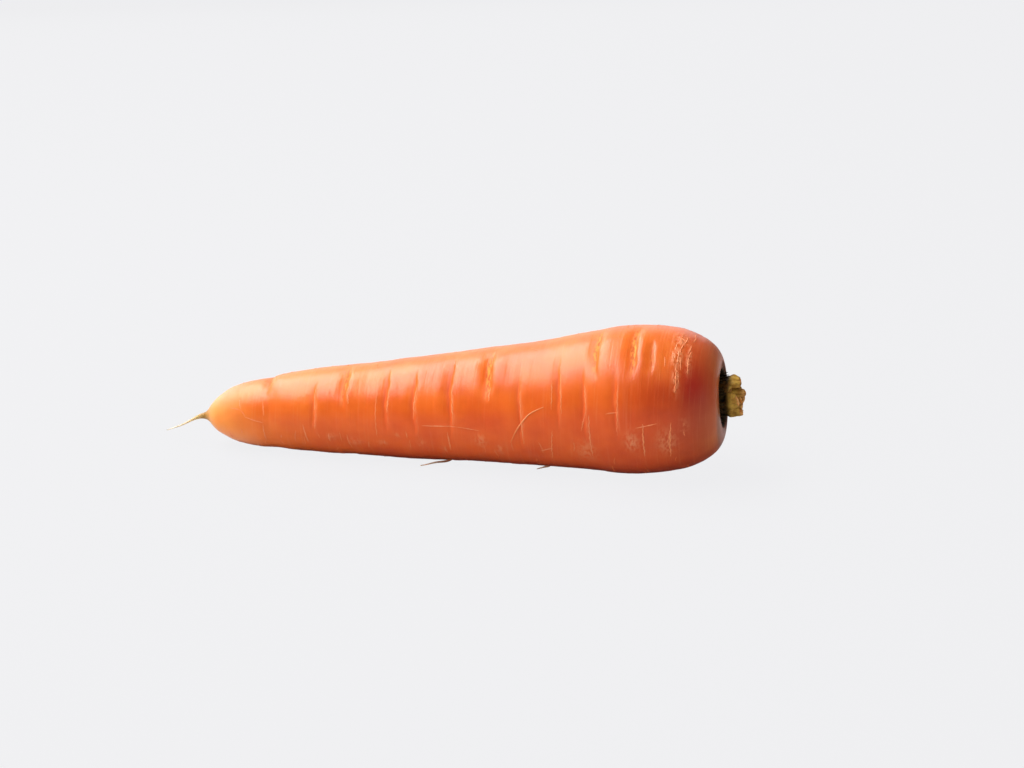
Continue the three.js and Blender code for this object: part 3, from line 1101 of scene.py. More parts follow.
def unwrap_rings(mesh, rows, columns):
    """A UV map for one tube: V is the ring's share of the rows and U the point's share of a turn, which the
    last column's faces finish at 1. A fan's tip lies half a column on, at V 0 or 1."""
    row = (np.arange(rows) + 0.5) / rows
    left = np.arange(columns) / columns
    right = left + 1 / columns
    middle = (left + right) / 2
    u = np.broadcast_to(np.stack([left, right, right, left], axis=-1), (rows - 1, columns, 4))
    v = np.stack([row[:-1], row[:-1], row[1:], row[1:]], axis=-1)
    quads = np.stack([u, np.broadcast_to(v[:, None, :], u.shape)], axis=-1)
    first, last = np.full(columns, row[0]), np.full(columns, row[-1])
    start = np.stack([middle, np.zeros(columns), right, first, left, first], axis=-1)
    end = np.stack([middle, np.ones(columns), left, last, right, last], axis=-1)
    coordinates = np.concatenate([quads.ravel(), start.ravel(), end.ravel()])
    layer = mesh.uv_layers.new(name="OFBake")
    layer.data.foreach_set("uv", coordinates.astype(np.float32))


def thread_rings(path, half_width, half_height, columns, normal=None):
    """Rings of an ellipse carried along a path: each is square to the path's run, its height along the normal
    and its width across it. Half width and half height are given for each point of the path."""
    forward = unit(np.gradient(path, axis=0))
    if normal is None:
        normal = np.broadcast_to(ROOTLET_NORMAL, path.shape)
    side = unit(np.cross(normal, forward))
    up = np.cross(forward, side)
    turn = np.linspace(0, TURN, columns, endpoint=False)
    across = side[:, None, :] * (np.cos(turn) * half_width[:, None])[..., None]
    upwards = up[:, None, :] * (np.sin(turn) * half_height[:, None])[..., None]
    return path[:, None, :] + across + upwards


def finish_piece(piece, material, slot, *replaced):
    """Gives a piece its material and its body, and hides the solids that it stands for. The slot is not used.
    """
    piece.data.materials.append(material)
    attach(piece, BODY)
    if replaced:
        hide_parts(*replaced)


def node(tree, kind, inputs=None, **settings):
    """A new node with its settings. Each input is set to a value, or joined to the output given for it."""
    made = tree.nodes.new(kind)
    for key, value in settings.items():
        setattr(made, key, value)
    for key, value in (inputs or {}).items():
        socket = made.inputs[key]
        if isinstance(value, bpy.types.NodeSocket):
            tree.links.new(value, socket)
        else:
            socket.default_value = value
    return made


def opaque(colour):
    """A colour with an alpha of 1."""
    return (*colour[:3], 1.0)


def paint(name):
    """One of the named colours, as a shader takes it."""
    return linear(*COLOURS[name])


def mixed(tree, share, first, second, how="MIX"):
    """A colour between two others by a share."""
    colours = {
        number: value if isinstance(value, bpy.types.NodeSocket) else opaque(value)
        for number, value in zip(MIX_COLOURS, (first, second))
    }
    mix = node(tree, "ShaderNodeMix", {0: share, **colours}, data_type="RGBA", blend_type=how)
    return mix.outputs[MIX_RESULT]


def computed(tree, how, first, second):
    """The result of a math node on two values or outputs."""
    return node(tree, "ShaderNodeMath", {0: first, 1: second}, operation=how).outputs[0]


def laid_over(tree, name, mask, under, over):
    """A colour laid over another where a mask is, as strongly as the mark of that name covers."""
    return mixed(tree, computed(tree, "MULTIPLY", mask, COVERS[name]), under, over)


def ranged(tree, value, low, high, to_low=0.0, to_high=1.0):
    """A value's range from low to high spread smoothly over another."""
    inputs = {"Value": value, "From Min": low, "From Max": high, "To Min": to_low, "To Max": to_high}
    return node(tree, "ShaderNodeMapRange", inputs, interpolation_type="SMOOTHSTEP").outputs[0]


def mask_of(tree, name):
    """A piece's own mask by its name."""
    return node(tree, "ShaderNodeAttribute", attribute_name=name).outputs["Fac"]


def object_place(tree):
    """The place on the piece, which is its place in the frame."""
    return node(tree, "ShaderNodeTexCoord").outputs["Object"]


def new_group(name, inputs, outputs):
    """An empty shader group with named sockets: its tree, the inner side of its inputs and of its outputs."""
    tree = bpy.data.node_groups.new(name, "ShaderNodeTree")
    for key, kind, default in inputs:
        socket = tree.interface.new_socket(key, in_out="INPUT", socket_type=kind)
        if default is not None:
            socket.default_value = default
    for key, kind in outputs:
        tree.interface.new_socket(key, in_out="OUTPUT", socket_type=kind)
    given = tree.nodes.new("NodeGroupInput").outputs
    result = tree.nodes.new("NodeGroupOutput").inputs
    return tree, given, result


def stretched_noise_group():
    """Noise of a pattern stretched by a scale for each axis, as a mask and as a height from 0 to 1. Ring
    lines across the root, fibres along a stalk and plain grain differ only in their scales."""
    name = "Stretched noise"
    if name in bpy.data.node_groups:
        return bpy.data.node_groups[name]
    inputs = [
        ("Place", "NodeSocketVector", None),
        ("Scale", "NodeSocketVector", (1.0, 1.0, 1.0)),
        ("Detail", "NodeSocketFloat", 3.0),
        ("Least", "NodeSocketFloat", 0.4),
        ("Most", "NodeSocketFloat", 0.6),
    ]
    outputs = [("Mask", "NodeSocketFloat"), ("Height", "NodeSocketFloat")]
    tree, given, result = new_group(name, inputs, outputs)
    place = node(tree, "ShaderNodeMapping", {"Vector": given["Place"], "Scale": given["Scale"]}).outputs[0]
    noise = node(tree, "ShaderNodeTexNoise", {"Vector": place, "Scale": 1.0, "Detail": given["Detail"]})
    mask = ranged(tree, noise.outputs["Fac"], given["Least"], given["Most"])
    tree.links.new(mask, result["Mask"])
    tree.links.new(noise.outputs["Fac"], result["Height"])
    return tree


def pattern(tree, place, name):
    """The stretched noise group, placed in a material with the values of the pattern of that name."""
    placed = tree.nodes.new("ShaderNodeGroup")
    placed.node_tree = stretched_noise_group()
    tree.links.new(place, placed.inputs["Place"])
    for key, value in zip(("Scale", "Detail", "Least", "Most"), PATTERNS[name]):
        placed.inputs[key].default_value = value
    return placed.outputs


def bumped(tree, name, height, under=None):
    """A normal raised by a height, as far as the bump of that name says, on top of another bump."""
    distance, strength = BUMPS[name]
    inputs = {"Height": height, "Distance": distance, "Strength": strength}
    if under is not None:
        inputs["Normal"] = under
    return node(tree, "ShaderNodeBump", inputs).outputs[0]


def new_material(name):
    """A material with an empty tree, and its tree."""
    material = bpy.data.materials.new(name)
    material.use_nodes = True
    material.node_tree.nodes.clear()
    return material, material.node_tree


def surface(tree, inputs):
    """The material's one principled shader, joined to its output."""
    shader = node(tree, "ShaderNodeBsdfPrincipled", inputs)
    output = tree.nodes.new("ShaderNodeOutputMaterial")
    tree.links.new(shader.outputs[0], output.inputs["Surface"])


def colour_along(tree, place, stops, settings):
    """A colour that changes evenly along the root between stops. A stop is a place along in millimetres
    with a screen colour or with the name of the setting that holds it."""
    across = node(tree, "ShaderNodeSeparateXYZ", {"Vector": place}).outputs["X"]
    start, end = stops[0][0], stops[-1][0]
    low, high = ((along + SHIFT[0]) * MM for along in (start, end))
    share = node(tree, "ShaderNodeMapRange", {"Value": across, "From Min": low, "From Max": high}).outputs[0]
    ramp = node(tree, "ShaderNodeValToRGB", {"Fac": share})
    elements = ramp.color_ramp.elements
    while len(elements) < len(stops):
        elements.new(1.0)
    for element, (along, colour) in zip(elements, stops):
        element.position = (along - start) / (end - start)
        element.color = opaque(getattr(settings, colour) if isinstance(colour, str) else linear(*colour))
    return ramp.outputs["Color"]


def skin_material(settings):
    """The carrot's satin skin. Its colour changes along the root from the beige tail over the yellow tip
    and the orange body to the redder shoulder, and by the rim it turns a paler brown that is partly a painted
    sheen. Painted light yellows the upper side, and the tip is paler, partly by painted highlight and light.
    Dark red, partly painted shade, lies on the shoulder and along the lower edge. Ring lines, mottling,
    creases with painted shade in their grooves and pale lips that are partly painted highlight, rough
    patches and the hollow are laid over it by their masks."""
    material, tree = new_material("carrot_skin")
    place = object_place(tree)
    base = colour_along(tree, place, SKIN_COLOURS, settings)
    # Painted light: the upper side leans to a yellower colour.
    base = laid_over(tree, "upper", mask_of(tree, "upper"), base, settings.top_light_colour)
    # The tip is paled: partly its own paler skin, partly painted highlight and painted light.
    base = mixed(tree, mask_of(tree, "pale_tip_and_light"), base, settings.pale_tip_and_light_colour)
    # Dark red: partly the shoulder's own colour, partly painted shade on its near side and along the lower
    # edge.
    base = laid_over(tree, "blush_and_shade", mask_of(tree, "blush_and_shade"), base, settings.blush_and_shade_colour)
    deep = mixed(tree, 1.0, base, paint("mottle"), how="MULTIPLY")
    colour = mixed(tree, pattern(tree, place, "mottle")["Mask"], deep, base)

    rings = pattern(tree, place, "ring_lines")
    pale_rings = mixed(tree, COVERS["pale_rings"], colour, settings.scar_colour)
    colour = laid_over(tree, "ring_lines", rings["Mask"], colour, pale_rings)

    # Painted shade darkens the grooves of the creases.
    groove = mask_of(tree, "groove")
    colour = laid_over(tree, "groove", groove, colour, settings.crease_shade_colour)
    torn = pattern(tree, place, "torn_flesh")["Mask"]
    flesh = mixed(tree, torn, paint("flesh_shade"), paint("flesh_fleck"))
    colour = laid_over(tree, "flesh", mask_of(tree, "dry"), colour, flesh)
    # The creases' lips are laid with the pale scar colour: partly corky skin, partly painted highlight on
    # their lit side.
    ragged = pattern(tree, place, "ragged_lip")["Mask"]
    lip = computed(tree, "MULTIPLY", mask_of(tree, "lip"), ragged)
    pale_lip_and_highlight = computed(tree, "MULTIPLY", lip, COVERS["lip"])
    colour = mixed(tree, pale_lip_and_highlight, colour, settings.scar_colour)

    crumbs = pattern(tree, place, "patch_crumbs")["Mask"]
    patch_there = computed(tree, "MULTIPLY", mask_of(tree, "patch"), crumbs)
    colour = laid_over(tree, "patch", patch_there, colour, settings.scar_colour)

    hollow = mask_of(tree, "hollow")
    soil = pattern(tree, place, "soil")["Mask"]
    colour = mixed(tree, hollow, colour, mixed(tree, soil, paint("hollow_shade"), paint("hollow_soil")))

    low_rings = bumped(tree, "ring_lines", rings["Height"])
    rough_skin = bumped(tree, "patch_crumbs", patch_there, low_rings)
    marked = computed(tree, "MAXIMUM", patch_there, computed(tree, "MAXIMUM", groove, pale_lip_and_highlight))
    roughness = ranged(tree, marked, 0.0, 1.0, settings.gloss_roughness, ROUGHNESS["marked_skin"])
    surface(tree, {
        "Base Color": colour,
        "Roughness": ranged(tree, hollow, 0.0, 1.0, roughness, ROUGHNESS["hollow"]),
        "Normal": bumped(tree, "pores", pattern(tree, place, "pores")["Height"], rough_skin),
        "Specular IOR Level": SPECULAR["skin"],
        "Subsurface Weight": SUBSURFACE_WEIGHT,
        "Subsurface Radius": SUBSURFACE_RADIUS,
        "Subsurface Scale": SUBSURFACE_SCALE,
    })
    return material


def scar_material(settings):
    """Dry cork of the thin scars: pale orange, tanner on some, and crumbly."""
    material, tree = new_material("scar_cork")
    place = object_place(tree)
    body = mixed(tree, COVERS["scar_body"], settings.scar_colour, settings.body_colour)
    colour = mixed(tree, mask_of(tree, "tone"), body, settings.scar_colour)
    crumbs = pattern(tree, place, "scar_crumbs")
    surface(tree, {
        "Base Color": laid_over(tree, "scar_crumbs", crumbs["Mask"], colour, settings.body_colour),
        "Roughness": ROUGHNESS["scar"],
        "Normal": bumped(tree, "scar_crumbs", crumbs["Height"]),
    })
    return material


def rootlet_material(settings):
    """Dry fibre of the rootlets: brown where it leaves the skin and paler to its end."""
    material, tree = new_material("rootlet_fibre")
    place = object_place(tree)
    tone = mask_of(tree, "tone")
    brown = mixed(tree, tone, paint("rootlet_foot"), paint("clinging_foot"))
    pale = mixed(tree, tone, settings.fibre_colour, paint("clinging_end"))
    colour = mixed(tree, ranged(tree, mask_of(tree, "share"), *ROOTLET_PALES), brown, pale)
    grain = pattern(tree, place, "rootlet_grain")
    surface(tree, {
        "Base Color": laid_over(tree, "rootlet_grain", grain["Mask"], colour, brown),
        "Roughness": ROUGHNESS["rootlet"],
        "Normal": bumped(tree, "rootlet_grain", grain["Height"]),
    })
    return material


def stalk_material(settings):
    """Fibrous leaf stalk: olive sides with fine lines along them, dark at the foot, and a tan cut face with
    brown stains, a darker edge and orange bundle ends."""
    material, tree = new_material("leaf_stalk_flesh")
    place = object_place(tree)
    foot = colour_along(tree, place, STALK_COLOURS, settings)
    fibres = pattern(tree, place, "stalk_fibres")
    side = laid_over(tree, "stalk_fibres", fibres["Mask"], foot, paint("stalk_fibre"))
    browner = mixed(tree, 1.0, side, paint("stalk_brown"), how="MULTIPLY")
    side = laid_over(tree, "stalk_brown", mask_of(tree, "tone"), side, browner)
    stains = pattern(tree, place, "stains")["Mask"]
    side = laid_over(tree, "side_stains", stains, side, paint("side_stain"))
    face = mixed(tree, stains, settings.pith_colour, paint("face_stain"))
    face = laid_over(tree, "face_edge", mask_of(tree, "edge"), face, paint("face_edge"))
    face = mixed(tree, mask_of(tree, "bundle"), face, paint("bundle"))
    cut = mask_of(tree, "cut")
    lines = bumped(tree, "stalk_fibres", fibres["Height"])
    surface(tree, {
        "Base Color": mixed(tree, cut, side, face),
        "Roughness": ranged(tree, cut, 0.0, 1.0, ROUGHNESS["stalk_side"], ROUGHNESS["stalk_cut"]),
        "Normal": bumped(tree, "stalk_grain", pattern(tree, place, "stalk_grain")["Height"], lines),
        "Specular IOR Level": SPECULAR["stalk"],
    })
    return material


def scale_material(settings):
    """Dead tissue in the hollow: nearly black, brown to olive at the torn tips."""
    material, tree = new_material("crown_scale")
    place = object_place(tree)
    tip = mixed(tree, mask_of(tree, "tone"), paint("scale_tip"), paint("scale_olive_tip"))
    colour = mixed(tree, ranged(tree, mask_of(tree, "share"), *SCALE_PALES), settings.scale_colour, tip)
    fibres = pattern(tree, place, "scale_fibres")
    surface(tree, {
        "Base Color": laid_over(tree, "scale_fibres", fibres["Mask"], colour, paint("scale_shade")),
        "Roughness": ROUGHNESS["scale"],
        "Normal": bumped(tree, "scale_fibres", fibres["Height"]),
        "Specular IOR Level": SPECULAR["scale"],
    })
    return material


class CARROT_OT_skin(bpy.types.Operator):
    """Grows the taproot's skin over its solid"""

    bl_idname = "carrot.grow_skin"
    bl_label = "Skin of the taproot"

    def execute(self, context):
        points, along, degrees, in_hollow, off_rim = skin_rings()
        _, groove, lip, dry = crease_parts(along, degrees)
        outside = np.where(in_hollow, 0, 1 - smoothstep(along, *CREASES_END))
        # Painted light on the upper side, by the sine of the degrees round.
        top_light_there = smoothstep(along, *TOP_LIGHT_STARTS) * (1 - smoothstep(along, *TOP_LIGHT_ENDS))
        masks = {
            "groove": groove * outside,
            "lip": lip * outside,
            "dry": dry * outside,
            "patch": bells(PATCHES, along, degrees),
            "upper": np.clip(np.sin(np.radians(degrees)), 0, 1) * top_light_there,
            "blush_and_shade": bells(BLUSHES_AND_SHADE, along, degrees),
            "pale_tip_and_light": bells(PALE_TIP_AND_LIGHT, along, degrees),
            "hollow": np.where(in_hollow, 1.0, dark_rim(off_rim, degrees)),
        }
        masks = {key: values[None] for key, values in masks.items()}
        piece = tube_piece("taproot_skin", points[None], masks, unwrapped=True)
        finish_piece(piece, skin_material(context.scene.carrot_skin), "root_skin", "taproot")
        return {"FINISHED"}


def scar_rings(start, end, width, bow):
    """One scar as a flat tube half sunk in the skin. Its middle runs from one end to the other on the skin
    with a bow of a half sine, jittered by two fast sines. Its half width is a sine's root, ragged by the
    product of two sines."""
    share = np.linspace(0, 1, SCAR_GRID[0])
    along = lerp(start[0], end[0], share) + bow * np.sin(share * math.pi)
    degrees = lerp(start[1], end[1], share)
    jitter = width * waves(SCAR_WIDTH_JITTER, share, bow) + waves(SCAR_JITTER, share, along[0])
    path = skin_point(along + jitter, degrees, 0.0)
    normal = unit(skin_point(along, degrees, 1.0) - path)
    taper = np.sqrt(np.sin(np.clip(share, *SCAR_ENDS) * math.pi))
    ragged = 1 + waves(SCAR_RAGGED, share, along[0]) * waves(SCAR_CRUMBLE, share, degrees[0])
    half_width = width / 2 * taper * ragged
    half_height = SCAR_FLATNESS * half_width + SCAR_LEAST_HEIGHT
    return thread_rings(path, half_width, half_height, SCAR_GRID[1], normal)


class CARROT_OT_scars(bpy.types.Operator):
    """Lays the thin corky scars on the skin, the named ones and strays strewn by a seeded draw"""

    bl_idname = "carrot.lay_scars"
    bl_label = "Corky scars"

    def execute(self, context):
        settings = context.scene.carrot_skin
        draw = np.random.default_rng(SCAR_SEED)
        scars, tones = [], []
        for along, degrees, last_along, last_degrees, width in SCARS:
            bow, tone = (draw.uniform(*limits) for limits in NAMED_SCAR.values())
            scars.append(scar_rings((along, degrees), (last_along, last_degrees), width, bow))
            tones.append(tone)
        for _ in range(settings.stray_scars):
            drawn = (draw.uniform(*limits) for limits in STRAY_SCAR.values())
            along, degrees, span, lean, width, bow, tone = drawn
            scars.append(scar_rings((along, degrees), (along + lean, degrees + span), width, bow))
            tones.append(tone)
        piece = tube_piece("skin_scars", np.stack(scars), {"tone": np.array(tones)[:, None, None]})
        finish_piece(piece, scar_material(settings), "root_skin")
        return {"FINISHED"}


def rootlet_path(along, degrees, offset, thickness):
    """A rootlet starts inside the skin, behind its place by a share of the offset, and leaves it towards its
    end. It bends on the way, and nothing of it is lower than its own half thickness."""
    turn = math.radians(degrees)
    radius = outline_radius(along)
    lifts = (0.0, -ROOTLET_SUNK, ROOTLET_RISE)
    skin, inside, risen = (around_spine(along, turn, radius + lift) for lift in lifts)
    end = skin + offset
    middle = risen + (end - risen) * ROOTLET_BEND
    points = np.stack([inside - ROOTLET_LEAD * offset, risen, middle, end])
    points[:, 2] = np.maximum(points[:, 2], thickness / 2)
    return evenly(curve_through(points), ROOTLET_GRID[0])


def wavy(path, height, phase):
    """The path with a slow wave that grows to its end: the height times the share, by a sine of the share in
    each of x, y and z."""
    share = np.linspace(0, 1, len(path))
    wave = np.stack([waves([sine], share, phase) for sine in ROOTLET_SINES], axis=-1)
    moved = path + height * share[:, None] * wave
    moved[:, 2] = np.maximum(moved[:, 2], ROOTLET_FLOOR)
    return moved


def clinging_rings(share):
    """The rings of the rootlet that grew flat on the skin. Its half width is the root of a half sine of the
    share, and its height a little less."""
    line = evenly(curve_through(CLINGING_ROOTLET), ROOTLET_GRID[0])
    path = skin_point(line[:, 0], line[:, 1], CLINGING_LIFT)
    normal = unit(skin_point(line[:, 0], line[:, 1], 1.0) - path)
    half = CLINGING_HALF_WIDTH * np.sqrt(np.sin(lerp(*CLINGING_ENDS, share) * math.pi))
    return thread_rings(path, half, half * CLINGING_FLATNESS, ROOTLET_GRID[1], normal)


class CARROT_OT_rootlets(bpy.types.Operator):
    """Grows the rootlets, the long one that clings to the skin, and fine hairs by a seeded draw"""

    bl_idname = "carrot.grow_rootlets"
    bl_label = "Rootlets and hairs"

    def execute(self, context):
        settings = context.scene.carrot_rootlets
        share = np.linspace(0, 1, ROOTLET_GRID[0])
        draw = np.random.default_rng(ROOTLET_SEED)
        rings, tones = [], []
        for number, (along, degrees, offset, thickness) in enumerate(ROOTLETS):
            path = wavy(rootlet_path(along, degrees, np.array(offset), thickness), ROOTLET_WAVE, number)
            half = lerp(thickness / 2, ROOTLET_END, share**ROOTLET_TAPER)
            rings.append(thread_rings(path, half, half, ROOTLET_GRID[1]))
            tones.append(0.0)

        rings.append(clinging_rings(share))
        tones.append(1.0)

        longest = settings.hair_length / MM
        for number in range(settings.hairs):
            along, degrees = draw.uniform(*HAIR_ALONG), draw.uniform(*HAIR_DEGREES)
            outward = unit(skin_point(along, degrees, 1.0) - skin_point(along, degrees, 0.0))
            leaning = unit(draw.normal(size=3) * HAIR_SPREAD + HAIR_OUTWARD * outward)
            offset = leaning * longest * draw.uniform(*HAIR_LENGTHS)
            thickness = draw.uniform(*HAIR_THICKNESS)
            path = wavy(rootlet_path(along, degrees % 360, offset, thickness), HAIR_WAVE, number)
            half = lerp(thickness / 2, HAIR_END, share)
            rings.append(thread_rings(path, half, half, ROOTLET_GRID[1]))
            tones.append(draw.uniform(*HAIR_TONES))
        masks = {"share": share[None, :, None], "tone": np.array(tones)[:, None, None]}
        piece = tube_piece("rootlets", np.stack(rings), masks)
        finish_piece(piece, rootlet_material(settings), "root_skin")
        return {"FINISHED"}


def capped_rows(cap_starts):
    """The rows of a stub with its cap: the share along it, which is 1 on the cap, the size of the row,
    which is 1 on the side and shrinks evenly over the cap, and whether the row is on the cap."""
    rows = STALK_GRID[0]
    share = np.concatenate([np.linspace(0, 1, rows), np.ones(STALK_CAP_ROWS)])[:, None]
    closing = np.concatenate([np.ones(rows), np.linspace(cap_starts, CAP_ENDS, STALK_CAP_ROWS)])[:, None]
    on_cap = (np.arange(rows + STALK_CAP_ROWS) >= rows)[:, None]
    return share, closing, on_cap


def spread_masks(rings, masks):
    """Masks with a value for each point of the rings."""
    return {key: np.broadcast_to(values, rings.shape[:2]) for key, values in masks.items()}


def stalk_rings(ring, degrees, past_rim, half_width, half_thickness, seed):
    """One stub's rings and masks. Its section is an ellipse with ribs, as a cosine of many waves, on its
    outer side and a channel, as a bell, on its inner side, and crossing sines make it lumpy. It spreads
    from the socket to its place in the ring by smoothstep. Its head is cut on a slant, rounds off to its
    own smaller size by the square of the share and is closed by shrinking rings, torn and domed."""
    draw = np.random.default_rng(seed)
    share, closing, on_cap = capped_rows(STALK_CAP_STARTS)
    rounding = np.clip((share - STALK_ROUNDS_AT) / (1 - STALK_ROUNDS_AT), 0, 1) ** 2
    shrink = lerp(1, STALK_HEAD_SIZE, rounding) * closing
    angle = np.linspace(0, TURN, STALK_GRID[1], endpoint=False)[None, :]
    outer = smoothstep(np.cos(angle), *STALK_OUTER_SIDE)
    ribs = STALK_RIB_HEIGHT * outer * np.cos(STALK_RIBS * angle + draw.uniform(0, TURN))
    along_rates, round_rates = STALK_LUMP_RATES
    crossing = np.sin(along_rates[0] * share + round_rates[0] * angle + seed)
    crossing = crossing * np.sin(along_rates[1] * share + round_rates[1] * angle)
    section = 1 + ribs + STALK_LUMPS * crossing
    x = np.sin(angle) * section * shrink
    z = np.cos(angle) * section
    channel = STALK_CHANNEL * bell(np.sin(angle), 0, STALK_CHANNEL_WIDTH)
    z = np.where(z < 0, STALK_INNER_SIZE * z + channel, z) * shrink
    spread = smoothstep(share, *STALK_SPREADS)
    size = lerp(STALK_FOOT_SIZE, 1, spread)
    outward = ring * lerp(STALK_FOOT_SHARE, 1, spread) + z * half_thickness * size
    across = x * half_width * size
    cut_ramp = np.clip((share - STALK_CUT_STARTS) / (1 - STALK_CUT_STARTS), 0, 1)
    cut = cut_ramp * (STALK_CUT_SLANT * x * half_width + waves(STALK_TEAR, angle, seed) * closing)
    dome = STALK_DOME * (1 - closing**2)
    bundle_angle = np.round(angle / TURN * BUNDLES) / BUNDLES * TURN
    off_bundle = np.hypot((angle - bundle_angle) * closing, closing - BUNDLE_RING) * half_thickness
    bundle = np.where(on_cap, bell(off_bundle, 0, BUNDLE_SIZE), 0) * outer
    along = lerp(STALK_FOOT, BODY_LENGTH + past_rim, share) + cut + dome - BUNDLE_DEPTH * bundle
    turn = math.radians(degrees) + np.arctan2(across, outward)
    rings = around_spine(along, turn, np.hypot(across, outward))
    pale_head = PALE_HEAD * smoothstep(share, *PALE_HEAD_STARTS) * (ring < INNER_RING)
    return rings, spread_masks(rings, {
        "cut": np.where(on_cap, 1.0, pale_head),
        "edge": np.where(on_cap, smoothstep(closing, *CUT_EDGE), 0),
        "bundle": bundle,
        "tone": draw.uniform(0, 1),
    })


def sheath_rings():
    """The fused foot that the stalks stand out of, as a plug with as many points as a stalk. Its radius
    swings between its least and its most by a cosine, narrower at the foot, and is ribbed by sines. Its end
    is torn by sines and notched by a bell, and its cap sinks to the middle."""
    share, closing, on_cap = capped_rows(SHEATH_CAP_STARTS)
    turn = np.linspace(0, TURN, STALK_GRID[1], endpoint=False)[None, :]
    swing = (1 + np.cos(turn - math.radians(SHEATH_SIDE))) / 2
    narrowing = lerp(SHEATH_FOOT, 1, smoothstep(share, *SHEATH_SPREADS))
    radius = (lerp(*SHEATH_RADIUS, swing) * narrowing + waves(SHEATH_RIBS, turn, share)) * closing
    notch_side, notch_span, notch_depth = SHEATH_NOTCH
    torn = waves(SHEATH_TEAR, turn, 1) - notch_depth * bell(np.degrees(turn), notch_side, notch_span)
    along = lerp(STALK_FOOT, BODY_LENGTH + SHEATH_END, share) + smoothstep(share, *SHEATH_TORN_FROM) * torn
    rings = around_spine(along - SHEATH_SINK * (1 - closing), turn, radius)
    masks = {"cut": SHEATH_CUT * on_cap, "edge": 1.0 * on_cap, "bundle": 0, "tone": SHEATH_TONE}
    return rings, spread_masks(rings, masks)


class CARROT_OT_stalks(bpy.types.Operator):
    """Stands the cut leaf stalks in the crown's hollow"""

    bl_idname = "carrot.cut_stalks"
    bl_label = "Leaf-stalk stubs"

    def execute(self, context):
        made = [stalk_rings(*stalk, seed) for seed, stalk in enumerate(STALKS, start=STALK_SEED)]
        made.append(sheath_rings())
        rings = np.stack([rings for rings, _ in made])
        masks = {key: np.stack([masks[key] for _, masks in made]) for key in made[0][1]}
        piece = tube_piece("leaf_stalk_bunch", rings, masks)
        finish_piece(piece, stalk_material(context.scene.carrot_crown), "leaf_stalk", "leaf_stalk_stubs")
        return {"FINISHED"}


def scale_rings(degrees, foot_radius, tip_radius, tip_along, half_width, seed):
    """One torn scale: a thin tube whose half width falls as 1 less a power of the share, ragged by a sine. It
    stands on the hollow's floor and leans to its tip by another power of the share."""
    share = np.linspace(0, 1, SCALE_GRID[0])
    radius = lerp(foot_radius, tip_radius, share**SCALE_BEND)
    along = lerp(HOLLOW_FLOOR - SCALE_SUNK, tip_along, share)
    turn = math.radians(degrees) + SCALE_TWIST * share * math.sin(seed)
    path = around_spine(along, turn, radius)
    normal = unit(around_spine(along, turn, radius + 1) - path)
    width = half_width * (1 - SCALE_NARROWS * share**SCALE_TAPER) * (1 + waves(SCALE_RAGGED, share, seed))
    thickness = lerp(*SCALE_THICKNESS, share)
    return thread_rings(path, width, thickness, SCALE_GRID[1], normal)


class CARROT_OT_scales(bpy.types.Operator):
    """Sets the dark torn scales round the foot of the stalks, turned by the golden share, lower towards the
    rim and leaning out over it on the far side"""

    bl_idname = "carrot.set_scales"
    bl_label = "Scales of the crown"

    def execute(self, context):
        settings = context.scene.carrot_crown
        draw = np.random.default_rng(SCALE_SEED)
        rings, tones = [], []
        for number in range(settings.scales):
            degrees = 360 * number * GOLDEN_SHARE + draw.uniform(*SCALE_TURNED)
            spread = number / settings.scales
            lean = FAR_LEAN * spread * max(0, math.cos(math.radians(degrees)))
            tip = lerp(*SCALE_TIP, spread) - draw.uniform(*SCALE_DRAWN_IN) + lean
            torn_off = draw.uniform(*SCALE_TORN_OFF) * (1 - spread / 2)
            top = BODY_LENGTH + lerp(*SCALE_TOP, spread) - torn_off + lean
            half_width = draw.uniform(*SCALE_HALF_WIDTH)
            rings.append(scale_rings(degrees, lerp(*SCALE_FOOT, spread), tip, top, half_width, number))
            tones.append(draw.uniform(0, 1))
        share = np.linspace(0, 1, SCALE_GRID[0])
        masks = {"share": share[None, :, None], "tone": np.array(tones)[:, None, None]}
        piece = tube_piece("crown_scales", np.stack(rings), masks)
        finish_piece(piece, scale_material(settings), "leaf_stalk")
        return {"FINISHED"}


def floor_material(colour):
    """The floor glows softly in its own pale colour for the camera, so that it stays even, and keeps a little
    of the shadow on it. It is clear from below, and other rays meet a plain matt floor."""
    material, tree = new_material("pale_floor")
    path = tree.nodes.new("ShaderNodeLightPath").outputs
    glow = node(tree, "ShaderNodeEmission", {"Color": opaque(colour), "Strength": FLOOR_GLOW}).outputs[0]
    matt = node(tree, "ShaderNodeBsdfDiffuse", {"Color": opaque(paint("floor_matt"))}).outputs[0]
    seen = node(tree, "ShaderNodeMixShader", {0: FLOOR_SHADOW, 1: glow, 2: matt}).outputs[0]
    dark = node(tree, "ShaderNodeBsdfDiffuse", {"Color": opaque(paint("floor_bounce"))}).outputs[0]
    either = node(tree, "ShaderNodeMixShader", {0: path["Is Camera Ray"], 1: dark, 2: seen}).outputs[0]
    clear = tree.nodes.new("ShaderNodeBsdfTransparent").outputs[0]
    behind = tree.nodes.new("ShaderNodeNewGeometry").outputs["Backfacing"]
    output = tree.nodes.new("ShaderNodeOutputMaterial")
    mixer = node(tree, "ShaderNodeMixShader", {0: behind, 1: either, 2: clear})
    tree.links.new(mixer.outputs[0], output.inputs["Surface"])
    return material


def make_floor(colour):
    """A flat square floor just under the carrot, large enough to fill the view."""
    signs = ((-1, -1), (1, -1), (1, 1), (-1, 1))
    corners = [(x * FLOOR_HALF, y * FLOOR_HALF, -FLOOR_DROP) for x, y in signs]
    mesh = bpy.data.meshes.new("floor")
    mesh.from_pydata(corners, [], [(0, 1, 2, 3)])
    floor = bpy.data.objects.new("floor", mesh)
    floor.data.materials.append(floor_material(colour))
    bpy.context.scene.collection.objects.link(floor)


